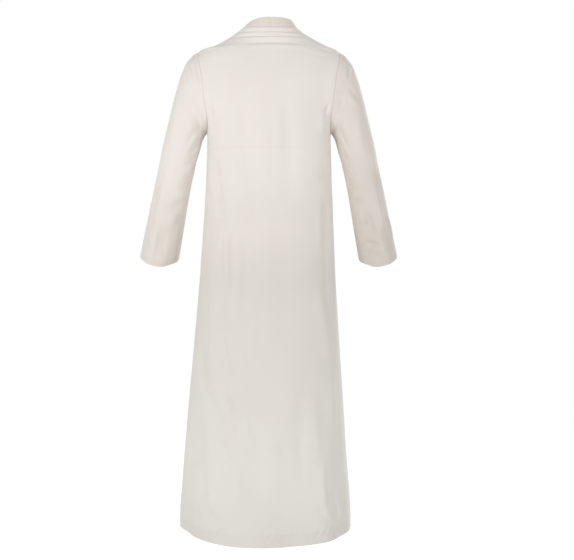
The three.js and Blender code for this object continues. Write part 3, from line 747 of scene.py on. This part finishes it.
def round_edges(thing, width, segments, degrees):
    angle = math.radians(degrees)
    by_angle = {"limit_method": "ANGLE", "angle_limit": angle}
    apply_modifier(thing, "BEVEL", width=width * MM, segments=segments, **by_angle)


def shade_by_angle(thing, degrees):
    only(thing)
    bpy.ops.object.shade_smooth_by_angle(angle=math.radians(degrees))


def apply_place(thing):
    only(thing)
    bpy.ops.object.transform_apply(location=True, rotation=True, scale=True)


# ---- Back, fronts and sleeves ----
HEM_ZONE = 36  # above the hem the rows are closer together
ROWS = np.concatenate(
    [
        np.linspace(HEM, HEM + HEM_ZONE, 13),
        np.linspace(HEM + HEM_ZONE, LAP_CORNER - LAP_CORNER_DROP, 148)[1:],
        np.linspace(LAP_CORNER, -340, 11),
        np.linspace(-340, UNDERARM, 8)[1:],
        ARMHOLE_MIDDLE - ARMHOLE_HALF_HEIGHT * np.cos(np.linspace(0, math.pi, 65))[1:],
        np.linspace(SHOULDER_TIP, 0, 34)[1:],
    ]
)
HEM_ROWS = 9  # rows that the hem's turning reaches up, and the cuff's
CUFF_ROWS = 8
BACK_COLUMNS, FRONT_COLUMNS, SLEEVE_COLUMNS = 148, 70, 112


def hem_pucker(x, up):
    """Short slanting ripples that the hem stitching draws in, stronger in some places than others."""
    x = x + 0.6 * up
    ripple = np.sin(x * 0.34) + 0.7 * np.sin(x * 0.53 + 1.3) + 0.4 * np.sin(x * 0.81 + 0.4)
    strength = 0.5 + 0.5 * np.sin(x * 0.034 + 1.9) * np.sin(x * 0.013 + 0.4)
    return HEM_PUCKER * ripple * strength * np.exp(-(((up - HEM_TURNING) / 17) ** 2))


def make_back():
    """The back, and the line of its hem stitches."""
    first = side_angles(ROWS)[0][:, None]
    share = np.linspace(0, 1, BACK_COLUMNS + 1)[None, :]
    angle = first + (math.pi - 2 * first) * share
    height = np.repeat(ROWS[:, None], BACK_COLUMNS + 1, 1)
    points = body_point(angle, height)
    normals = body_normal(angle, height)
    width = lengths_along(points, 1)
    side = np.minimum(width, width[:, -1:] - width)
    up = lengths_along(points, 0)
    top = up[-1:] - up
    out = dent(side, 0.3) + dent(top, 0.4)
    out += LINING_STEP * ease(LINING_EDGE - 2, LINING_EDGE + 2, height)
    out += dent(up - HEM_TURNING, HEM_DENT)
    out += hem_pucker(points[..., 0], up)
    out -= HEM_TUCK * ease(TUCK_REACH, 0, up) ** 2
    # the drape dies out towards the seams
    out += drape_height(BACK_DRAPE, points[..., 0], points[..., 2]) * ease(0, 20, side) * ease(0, 10, top)
    points += normals * out[..., None]
    draw_back_edges(points)
    hem_line = row_at(points, normals, ROWS - (HEM + HEM_TURNING))
    return add_hemmed_shell("back_cloth", points, normals, np.minimum(side, top), HEM_ROWS), hem_line


def make_front(side, name):
    """A front, and the lines of its hem and edge stitches; side is 1 for the left one, -1 for the right."""
    first = -side_angles(ROWS)[1][:, None]
    last = front_edge_angle(ROWS)[:, None]
    share = np.linspace(0, 1, FRONT_COLUMNS + 1)[None, :]
    angle = first + (last - first) * share
    height = np.repeat(ROWS[:, None], FRONT_COLUMNS + 1, 1)
    points, normals = front_place(side, angle, height)
    width = lengths_along(points, 1)
    up = lengths_along(points, 0)
    from_edge = width[:, -1:] - width
    side_seam = np.where(height <= SHOULDER_TIP + 0.01, width, FAR)
    top = up[-1:] - up
    neck_seam = np.where(height >= LAP_CORNER, from_edge, FAR)
    out = dent(side_seam, 0.45) + dent(top, 0.5) + dent(neck_seam, 0.5)
    out += dent(up - HEM_TURNING, HEM_DENT)
    out += hem_pucker(points[..., 0] + FRONT_RIPPLE_SHIFT, up)
    out -= HEM_TUCK * ease(TUCK_REACH, 0, up) ** 2
    free = np.where(height < LAP_CORNER - 1, from_edge, FAR)
    out += dent(free - EDGE_STITCH, 0.3, 1.4)
    from_neck = np.hypot(from_edge, np.maximum(0, LAP_CORNER - height))
    clear = ease(0, 20, side_seam) * ease(40, 90, np.minimum(from_neck, top))
    out += drape_height(BACK_DRAPE, -points[..., 0], points[..., 2] + FRONT_DRAPE_SHIFT) * clear
    points += normals * out[..., None]
    draw_back_edges(points)
    seams = np.minimum(np.minimum(side_seam, top), neck_seam)
    rows = {"hem": row_at(points, normals, ROWS - (HEM + HEM_TURNING))}
    edge = int(np.searchsorted(ROWS, LAP_CORNER - LAP_CORNER_DROP - 1))
    rows["edge"] = (points[: edge + 1, -2], normals[: edge + 1, -2])
    return add_hemmed_shell(name, points, normals, seams, HEM_ROWS), rows


def make_sleeve(side, name):
    """A sleeve, and the line of its cuff stitches."""
    places = math.pi + np.linspace(0, 2 * math.pi, SLEEVE_COLUMNS + 1)
    # rows are closer together at the cuff and at the armhole
    cuff = 1 - np.linspace(0, CUFF_TURNING + 4, 10) / SLEEVE_LENGTH
    cap = np.linspace(0.06, 0, 20)
    shares = np.concatenate([cuff, np.linspace(cuff[-1], cap[0], 128)[1:], cap[1:]])
    points, normals = sleeve_grid_points(side, places, shares)
    up = lengths_along(points, 0)
    top = up[-1:] - up
    width = lengths_along(points, 1)
    under = np.minimum(width, width[:, -1:] - width)
    # the cap swells a little beside its seam
    out = dent(top, 0.3) + dent(top - 6, -0.3, 4) + dent(under, 0.45)
    out += dent(up - CUFF_TURNING, CUFF_DENT)
    points += normals * out[..., None]
    draw_back(points, np.s_[-1], np.s_[-2], SEAM_GAP)
    points[:, -1] = points[:, 0]
    cuff_line = row_at(points, normals, (1 - shares) * SLEEVE_LENGTH - CUFF_TURNING)
    seams = np.minimum(top, under)
    return add_hemmed_shell(name, points, normals, seams, CUFF_ROWS, welded=True), cuff_line


# ---- Neck band ----
BAND_COLUMNS, BAND_ROWS_BEHIND, BAND_ROWS_BEFORE = 12, 42, 112


def band_lines(side):
    """Seam edge and free edge of one half of the band, from the centre back to its end in front."""
    angle = on_side(side, np.linspace(math.pi / 2, 0, BAND_ROWS_BEHIND))
    across, deep = oval_power(np.cos(angle), BAND_SQUARE), oval_power(np.sin(angle), BAND_SQUARE)
    seam_behind = body_point(angle, 0 * angle)
    low = BAND_LOW_SIDE * ease(0.2, 1, across)
    free_behind = np.stack([BAND_SHIFT + (BAND_HALF - low) * across, BAND_BACK * deep, BAND_TOP - low], -1)
    height = np.linspace(0, LAP_CORNER, BAND_ROWS_BEFORE)
    seam_before, _ = front_place(side, front_edge_angle(height), height)
    standing = seam_before + unit(np.array(BAND_STAND) * (side, 1, 1)) * BAND_WIDTH
    # further down it lies flat on the front, a band's width in from the edge, and it ends level
    end = ease(-330, LAP_CORNER, height)
    run = math.hypot(1, BAND_SLANT)
    lying_height = np.minimum(-2, height + BAND_WIDTH * BAND_SLANT / run * (1 - end) - LAP_CORNER_DROP * end)
    lying_x = neckline_x(height) - BAND_WIDTH / run - 0.5 * end
    lying, _ = front_place(side, front_angle_at(lying_x, lying_height), lying_height)
    flat = ease(0, -70, height)[:, None]
    free_before = standing * (1 - flat) + lying * flat
    return np.concatenate([seam_behind, seam_before[1:]]), np.concatenate([free_behind, free_before[1:]])


def make_band(side, name):
    """Half of the neck band, and the two lines of its stitches."""
    seam, free = band_lines(side)
    share = np.linspace(0, 1, BAND_COLUMNS + 1)
    points = seam[:, None] + (free - seam)[:, None] * share[None, :, None]
    along = np.gradient(points, axis=0)
    across = np.gradient(points, axis=1)
    normals = unit(np.cross(along, across)) * -side
    width = lengths_along(points, 1)
    down = lengths_along(points, 0)
    from_edges = np.minimum(width, width[:, -1:] - width)
    # a little padded between its edges
    out = 0.5 * np.sin(math.pi * share)[None, :] + dent(width, 0.8, 1.5) + dent(down, 0.7, 1.5)
    out += dent(from_edges - BAND_STITCH, 0.25, 0.9)
    out += 0.25 * unevenness(down, width, 45, 3 + side)
    points += normals * out[..., None]
    draw_back(points, np.s_[:, 0], np.s_[:, 1])
    draw_back(points, np.s_[0], np.s_[1])
    draw_back(points, np.s_[-1], np.s_[-2], SEAM_GAP)
    stitch = int(round(BAND_STITCH / BAND_WIDTH * BAND_COLUMNS))
    rows = [(points[2:-1, k], normals[2:-1, k]) for k in (stitch, BAND_COLUMNS - stitch)]
    band = add_shell(name, points, normals, np.minimum(width, down), thickness=2 * CLOTH - 0.7)
    round_edges(band, BAND_ROUND, 2, 60)
    shade_by_angle(band, 60)
    return band, rows


# ---- Stitches ----
def add_stitches(name, rows, pitch=3.2, length=2.3, thick=0.32, across=False):
    """Thread stitches along the given lines of places, half sunk in the cloth."""
    points, quads = [], []
    for line, normals in rows:
        reach = lengths_along(line[:, None], 0)[:, 0]
        at = np.arange(pitch, reach[-1] - pitch / 2, pitch)
        centre = np.stack([np.interp(at, reach, line[:, k]) for k in range(3)], -1)
        up = unit(np.stack([np.interp(at, reach, normals[:, k]) for k in range(3)], -1))
        ahead = unit(np.stack([np.interp(at + 0.5, reach, line[:, k]) for k in range(3)], -1) - centre)
        beside = np.cross(up, ahead)
        if across:
            ahead, beside = beside, ahead
        # a stitch is two rings of four corners with a sunk point at either end
        for c, u, a, b in zip(centre, up, ahead, beside):
            first = len(points)
            points.append(c - a * length / 2 - u * thick)
            for share in (-0.34, 0.34):
                ring = c + a * length * share
                points.extend([ring + b * thick, ring + u * thick, ring - b * thick, ring - u * thick])
            points.append(c + a * length / 2 - u * thick)
            for k in range(4):
                n = (k + 1) % 4
                quads.append((first, first + 1 + n, first + 1 + k))
                quads.append((first + 1 + k, first + 1 + n, first + 5 + n, first + 5 + k))
                quads.append((first + 5 + k, first + 5 + n, first + 9))
    mesh = bpy.data.meshes.new(name)
    mesh.from_pydata((np.array(points) * MM).tolist(), [], quads)
    mesh.polygons.foreach_set("use_smooth", np.ones(len(mesh.polygons), bool))
    stitches = bpy.data.objects.new(name, mesh)
    bpy.context.scene.collection.objects.link(stitches)
    only(stitches)
    bpy.ops.object.mode_set(mode="EDIT")
    bpy.ops.mesh.select_all(action="SELECT")
    bpy.ops.mesh.normals_make_consistent(inside=False)
    bpy.ops.object.mode_set(mode="OBJECT")
    return stitches


# ---- Buttons ----
def set_on_cloth(thing, place, turn):
    thing.rotation_mode = "QUATERNION"
    thing.rotation_quaternion = turn
    thing.location = Vector(place * MM)
    apply_place(thing)


def make_button(name, height):
    """A dished button with four holes, the thread through them and the line of its buttonhole."""
    deep = BUTTON_DEPTH * MM
    radius = BUTTON_RADIUS * MM
    bpy.ops.mesh.primitive_cylinder_add(vertices=48, radius=radius, depth=deep, location=(0, 0, deep / 2))
    button = bpy.context.object
    button.name = button.data.name = name
    apply_place(button)
    bpy.ops.object.mode_set(mode="EDIT")
    bpy.ops.mesh.select_all(action="DESELECT")
    bpy.ops.object.mode_set(mode="OBJECT")
    for face in button.data.polygons:
        face.select = face.normal.z > 0.9
    bpy.ops.object.mode_set(mode="EDIT")
    bpy.ops.mesh.inset(thickness=BUTTON_RIM * MM)
    bpy.ops.mesh.inset(thickness=BUTTON_DISH * MM)
    bpy.ops.transform.translate(value=(0, 0, -BUTTON_DISH * MM))
    bpy.ops.object.mode_set(mode="OBJECT")
    round_edges(button, BUTTON_ROUND, 3, 40)
    for k in range(4):
        turn = math.radians(45 + 90 * k)
        place = (HOLE_PLACE * MM * math.cos(turn), HOLE_PLACE * MM * math.sin(turn), 0)
        radius = HOLE_RADIUS * MM
        bpy.ops.mesh.primitive_cylinder_add(vertices=16, radius=radius, depth=4 * deep, location=place)
        drill = bpy.context.object
        apply_modifier(button, "BOOLEAN", operation="DIFFERENCE", object=drill, solver="EXACT")
        bpy.data.objects.remove(drill)
    shade_by_angle(button, 35)
    threads = []
    for x in (-THREAD_PLACE, THREAD_PLACE):
        bpy.ops.mesh.primitive_cylinder_add(
            vertices=10,
            radius=THREAD_RADIUS * MM,
            depth=THREAD_LENGTH * MM,
            location=(x * MM, 0, THREAD_HEIGHT * MM),
            rotation=(math.pi / 2, 0, 0),
        )
        threads.append(bpy.context.object)
        apply_place(threads[-1])
    threads[0].select_set(True)
    bpy.context.view_layer.objects.active = threads[0]
    bpy.ops.object.join()
    thread = threads[0]
    thread.name = thread.data.name = name + "_thread"
    shade_by_angle(thread, 60)
    point, normal = front_place(1, front_angle_at(front_edge_x(height) + BUTTON_INSET, height), height)
    turn = Vector((0, 0, 1)).rotation_difference(Vector(normal))
    set_on_cloth(button, point + normal * BUTTON_LIFT, turn)
    set_on_cloth(thread, point + normal * BUTTON_LIFT, turn)
    across = unit(np.cross([0, 0, 1], normal))
    slit = point + normal * 0.1 + np.linspace(*SLIT, 21)[:, None] * across
    return button, thread, (slit, np.repeat(normal[None], len(slit), 0))


back, back_hem = make_back()
front_left, left_rows = make_front(1, "front_left_cloth")
front_right, right_rows = make_front(-1, "front_right_cloth")
sleeve_left, cuff_left = make_sleeve(1, "sleeve_left_cloth")
sleeve_right, cuff_right = make_sleeve(-1, "sleeve_right_cloth")
band_left, band_left_rows = make_band(1, "neck_band_left_cloth")
band_right, band_right_rows = make_band(-1, "neck_band_right_cloth")
button_upper, thread_upper, hole_upper = make_button("button_upper", BUTTON_HEIGHTS[0])
button_lower, thread_lower, hole_lower = make_button("button_lower", BUTTON_HEIGHTS[1])
stitching = {}
for name, lines, settings in (
    ("hem_stitches", [back_hem, left_rows["hem"], right_rows["hem"]], {}),
    ("front_edge_stitches", [left_rows["edge"]], {}),
    ("neck_band_stitches", band_left_rows + band_right_rows, {"pitch": 2.8, "length": 2.0}),
    ("cuff_stitches", [cuff_left, cuff_right], {}),
    ("buttonholes", [hole_upper, hole_lower], {"pitch": 0.75, "length": 2.6, "thick": 0.3, "across": True}),
):
    stitching[name] = add_stitches(name, lines, **settings)
sewn = (thread_upper, thread_lower, *stitching.values())


# ---- Finishes ----
class Finish:
    """A material built up node by node."""

    def __init__(self, name):
        self.material = bpy.data.materials.new(name)
        self.material.use_nodes = True
        self.tree = self.material.node_tree
        self.shader = self.tree.nodes["Principled BSDF"]

    def node(self, kind, settings=None, **inputs):
        node = self.tree.nodes.new("ShaderNode" + kind)
        for key, value in (settings or {}).items():
            setattr(node, key, value)
        for key, value in inputs.items():
            self.set(node, key, value)
        return node

    def set(self, node, key, value):
        """Sets or links an input. i0, i1 and so on stand for the inputs that share a name."""
        name = key.replace("_", " ")
        socket = node.inputs[int(name[1:])] if name[0] == "i" and name[1:].isdigit() else node.inputs[name]
        if isinstance(value, bpy.types.NodeSocket):
            self.tree.links.new(value, socket)
        else:
            socket.default_value = value

    def maths(self, operation, a, b=0.0, clamp=False):
        return self.node("Math", {"operation": operation, "use_clamp": clamp}, i0=a, i1=b).outputs[0]

    def blend(self, kind, amount, a, b):
        node = self.node("Mix", {"data_type": "RGBA", "blend_type": kind}, i0=amount, i6=a, i7=b)
        return node.outputs[2]

    def ramp(self, value, low, high, to_low=0.0, to_high=1.0):
        ends = {"From_Min": low, "From_Max": high, "To_Min": to_low, "To_Max": to_high}
        return self.node("MapRange", {"clamp": True}, Value=value, **ends).outputs[0]

    # Colour stops by height that paint light and shade into the cloth's base colour.
    def painted_shade_by_height(self, height, painted_shade_stops):
        low, high = painted_shade_stops[0][0], painted_shade_stops[-1][0]
        node = self.node("ValToRGB", Fac=self.ramp(height, low, high))
        stops = node.color_ramp.elements
        stops[0].color = (*painted_shade_stops[0][1], 1)
        stops[-1].color = (*painted_shade_stops[-1][1], 1)
        for at, colour in painted_shade_stops[1:-1]:
            stops.new((at - low) / (high - low)).color = (*colour, 1)
        node.color_ramp.interpolation = "EASE"
        return node.outputs[0]


# Painted light and shade by height in metres: the cloth is painted lighter high up and darker round the seat
# and towards hem and cuffs, as the light falls on it; the right sleeve is painted darker than the left, and
# the band darker than the body, partly for its two layers and partly as painted shade.
BODY_PAINTED_SHADE = (
    (-1.42, (0.75, 0.728, 0.69)),
    (-1.26, (0.785, 0.762, 0.722)),
    (-0.98, (0.755, 0.728, 0.685)),
    (-0.72, (0.725, 0.69, 0.642)),
    (-0.56, (0.785, 0.748, 0.697)),
    (-0.36, (0.832, 0.795, 0.75)),
)
LEFT_SLEEVE_PAINTED_SHADE = ((-0.62, (0.765, 0.72, 0.67)), (-0.36, (0.825, 0.785, 0.738)))
RIGHT_SLEEVE_PAINTED_SHADE = (
    (-0.62, (0.672, 0.62, 0.572)),
    (-0.5, (0.708, 0.659, 0.612)),
    (-0.28, (0.764, 0.718, 0.671)),
)
BAND_PAINTED_SHADE = ((-0.3, (0.79, 0.75, 0.70)), (-0.02, (0.79, 0.74, 0.685)))
SHADE = (0.94, 0.925, 0.905, 1)
BODY_TURNED, SLEEVE_TURNED = 0.062, 0.05  # turned cloth and the part it lies on, in metres of the flat map


def cloth_finish(name, painted_shade_stops, lining_shadow=False, hem=0.0):
    """Ivory cloth that shows its weave and its puckered seams, with painted light and shade by height,
    painted shade in the seams and along the lining's edge, and darker over the turned hem.
    """
    f = Finish(name)
    uv = f.node("UVMap", {"uv_map": "cloth"}).outputs[0]
    sideways, lengthways, _ = f.node("SeparateXYZ", Vector=uv).outputs
    place = f.node("TexCoord").outputs["Object"]
    x, _, height = f.node("SeparateXYZ", Vector=place).outputs
    seam = f.node("Attribute", {"attribute_name": "seam"}).outputs["Fac"]
    # tone: broad cloudiness, fine slubs, and painted shade in the seams
    cloud = f.node("TexNoise", Vector=place, Scale=7.0, Detail=3.0, Roughness=0.55).outputs[0]
    slub = f.node("TexNoise", Vector=uv, Scale=420.0, Detail=2.0, Roughness=0.6).outputs[0]
    tone = f.maths("ADD", f.ramp(cloud, 0.3, 0.7, 0.0, 0.42), f.ramp(slub, 0.3, 0.7, 0.0, 0.12))
    # painted shade: the cloth darkens within 3 mm of a seam
    tone = f.maths("ADD", tone, f.ramp(seam, 0.3, 3.0, 0.55, 0.0))
    if hem:
        turned = f.ramp(lengthways, hem - 0.001, hem + 0.003, 0.7, 0.0)
        tone = f.maths("ADD", tone, f.maths("MULTIPLY", turned, cloud))
    # base colour: painted light and shade by height, deepened by the tone
    colour = f.blend("MULTIPLY", tone, f.painted_shade_by_height(height, painted_shade_stops), SHADE)
    if lining_shadow:
        # painted shadow: a faint dark line where the lining ends, fading towards the right side
        away = f.maths("ABSOLUTE", f.maths("SUBTRACT", height, LINING_EDGE * MM - 0.001))
        line = f.maths("MULTIPLY", f.ramp(away, 0.0, 0.005, 1.0, 0.0), f.ramp(x, -0.12, -0.06, 0.0, 0.35))
        colour = f.blend("MULTIPLY", line, colour, SHADE)
    # weave: warp and weft threads half a millimetre apart
    uneven = {"Distortion": 1.2, "Detail": 1.0}
    warp = f.node("TexWave", {"bands_direction": "X"}, Vector=uv, Scale=600.0, **uneven).outputs[1]
    weft = f.node("TexWave", {"bands_direction": "Y"}, Vector=uv, Scale=560.0, **uneven).outputs[1]
    threads = f.maths("MAXIMUM", warp, weft)
    # puckers: short ripples across the seams that die out a finger's width away
    squeezed = {"X": f.maths("MULTIPLY", sideways, 16.0), "Y": f.maths("MULTIPLY", lengthways, 95.0)}
    squeezed = f.node("CombineXYZ", **squeezed).outputs[0]
    ripple = f.node("TexNoise", Vector=squeezed, Scale=1.0, Detail=1.0).outputs[0]
    pucker = f.maths("MULTIPLY", ripple, f.ramp(seam, 2.0, 16.0, 1.0, 0.0))
    soft = f.node("TexNoise", Vector=place, Scale=26.0, Detail=2.0, Roughness=0.5).outputs[0]
    rough = f.node("Bump", Strength=0.12, Distance=0.00012, Height=threads)
    curl = f.node("Bump", Strength=0.5, Distance=0.0009, Height=pucker, Normal=rough.outputs[0])
    wave = f.node("Bump", Strength=0.35, Distance=0.0016, Height=soft, Normal=curl.outputs[0])
    f.set(f.shader, "Base Color", colour)
    f.set(f.shader, "Normal", wave.outputs[0])
    f.set(f.shader, "Roughness", f.ramp(slub, 0.2, 0.8, 0.78, 0.9))
    f.set(f.shader, "Specular IOR Level", 0.28)
    f.set(f.shader, "Sheen Weight", 0.22)
    f.set(f.shader, "Sheen Roughness", 0.45)
    return f.material


def thread_finish(name):
    f = Finish(name)
    place = f.node("TexCoord").outputs["Object"]
    slanted = {"bands_direction": "DIAGONAL"}
    twist = f.node("TexWave", slanted, Vector=place, Scale=900.0, Distortion=0.5).outputs[1]
    colour = f.blend("MIX", f.ramp(twist, 0.2, 0.8, 0.0, 0.5), (0.83, 0.79, 0.73, 1), (0.74, 0.69, 0.62, 1))
    f.set(f.shader, "Base Color", colour)
    f.set(f.shader, "Normal", f.node("Bump", Strength=0.3, Distance=0.0001, Height=twist).outputs[0])
    f.set(f.shader, "Roughness", f.ramp(twist, 0.0, 1.0, 0.45, 0.65))
    f.set(f.shader, "Sheen Weight", 0.15)
    return f.material


def button_finish(name):
    f = Finish(name)
    place = f.node("TexCoord").outputs["Object"]
    swirl = f.node("TexNoise", Vector=place, Scale=160.0, Detail=4.0, Distortion=1.6).outputs[0]
    colour = f.blend("MIX", f.ramp(swirl, 0.3, 0.7), (0.84, 0.80, 0.72, 1), (0.72, 0.66, 0.56, 1))
    f.set(f.shader, "Base Color", colour)
    f.set(f.shader, "Roughness", f.ramp(swirl, 0.3, 0.7, 0.16, 0.28))
    f.set(f.shader, "Normal", f.node("Bump", Strength=0.08, Distance=0.0002, Height=swirl).outputs[0])
    f.set(f.shader, "Coat Weight", 0.4)
    f.set(f.shader, "Coat Roughness", 0.1)
    return f.material


ivory_front = cloth_finish("ivory_cloth", BODY_PAINTED_SHADE, hem=BODY_TURNED)
ivory_back_lining_shadow = cloth_finish("ivory_cloth_lining_shadow", BODY_PAINTED_SHADE, lining_shadow=True, hem=BODY_TURNED)
# The sleeves are lit and shaded copies of one cloth: painted shade by height, deeper on the right sleeve.
ivory_left_sleeve_painted_shade = cloth_finish("ivory_cloth_left_sleeve_painted_shade", LEFT_SLEEVE_PAINTED_SHADE, hem=SLEEVE_TURNED)
ivory_right_sleeve_painted_shade = cloth_finish("ivory_cloth_right_sleeve_painted_shade", RIGHT_SLEEVE_PAINTED_SHADE, hem=SLEEVE_TURNED)
ivory_band = cloth_finish("ivory_cloth_band", BAND_PAINTED_SHADE)
sewing_thread = thread_finish("ivory_thread")
shell_button = button_finish("ivory_button")


# ---- What each piece is made of and stands for ----
def add_piece(piece, finish):
    piece.data.materials.clear()
    piece.data.materials.append(finish)
    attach(piece, "root")


for cloth, node, finish in (
    (back, "back", ivory_back_lining_shadow),
    (front_left, "front_left", ivory_front),
    (front_right, "front_right", ivory_front),
    (sleeve_left, "sleeve_left", ivory_left_sleeve_painted_shade),
    (sleeve_right, "sleeve_right", ivory_right_sleeve_painted_shade),
    (band_left, "neck_band_left", ivory_band),
    (band_right, "neck_band_right", ivory_band),
):
    add_piece(cloth, finish)
    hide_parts(node)
for button, node in ((button_upper, "front_button_upper"), (button_lower, "front_button_lower")):
    add_piece(button, shell_button)
    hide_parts(node)
for thread in sewn:
    add_piece(thread, sewing_thread)

# ---- Floor, light and camera ----
bpy.ops.mesh.primitive_plane_add(size=3.2, location=(0, -0.9, -1.53))
floor = bpy.context.object
floor.name = "floor"
paper = Finish("white_floor")
paper.set(paper.shader, "Base Color", (0.4, 0.4, 0.4, 1))
paper.set(paper.shader, "Roughness", 0.9)
paper.set(paper.shader, "Emission Color", (1, 1, 1, 1))
paper.set(paper.shader, "Emission Strength", 0.8)
floor.data.materials.append(paper.material)
floor.visible_diffuse = False  # so that it throws no light up at the hem

# A pale room, dimmer overhead than at eye level, that the camera sees as white.
world = bpy.data.worlds.new("white_room")
bpy.context.scene.world = world
world.use_nodes = True
nodes, links = world.node_tree.nodes, world.node_tree.links
room = nodes["Background"]
room.inputs["Color"].default_value = (1.0, 0.995, 0.985, 1)
ways = nodes.new("ShaderNodeTexCoord")
split = nodes.new("ShaderNodeSeparateXYZ")
dimmer = nodes.new("ShaderNodeMapRange")
dimmer.inputs["From Min"].default_value = 0.0
dimmer.inputs["From Max"].default_value = 1.0
dimmer.inputs["To Min"].default_value = 0.74
dimmer.inputs["To Max"].default_value = 0.48
links.new(ways.outputs["Generated"], split.inputs[0])
links.new(split.outputs[2], dimmer.inputs["Value"])
links.new(dimmer.outputs[0], room.inputs["Strength"])
seen = nodes.new("ShaderNodeBackground")
seen.inputs["Color"].default_value = (1, 1, 1, 1)
seen.inputs["Strength"].default_value = 1.0
path = nodes.new("ShaderNodeLightPath")
either = nodes.new("ShaderNodeMixShader")
links.new(path.outputs["Is Camera Ray"], either.inputs[0])
links.new(room.outputs[0], either.inputs[1])
links.new(seen.outputs[0], either.inputs[2])
links.new(either.outputs[0], nodes["World Output"].inputs["Surface"])

ROBE_MIDDLE = Vector((0, 0, -0.6))


def add_softbox(name, place, size, watts):
    bpy.ops.object.light_add(type="AREA", location=place)
    lamp = bpy.context.object
    lamp.name = name
    lamp.data.shape = "RECTANGLE"
    lamp.data.size, lamp.data.size_y = size
    lamp.data.energy = watts
    lamp.rotation_euler = (ROBE_MIDDLE - Vector(place)).to_track_quat("-Z", "Y").to_euler()


add_softbox("key", (2.2, 2.7, -0.3), (0.9, 0.9), 35.5)
add_softbox("fill", (-2.2, 2.5, -0.5), (1.2, 1.6), 15.5)
add_softbox("front_fill", (-1.9, -2.3, 0.9), (1.1, 1.1), 34)

CAMERA_PLACE = (0, 2.65, -0.7157)
CAMERA_YAW = 1.11  # degrees off straight ahead
turn = math.radians(180 - CAMERA_YAW)
bpy.ops.object.camera_add(location=CAMERA_PLACE, rotation=(math.pi / 2, 0, turn))
camera = bpy.context.object
camera.data.sensor_width = 36
camera.data.lens = 58.17
bpy.context.scene.camera = camera
bpy.context.scene.view_settings.view_transform = "Standard"
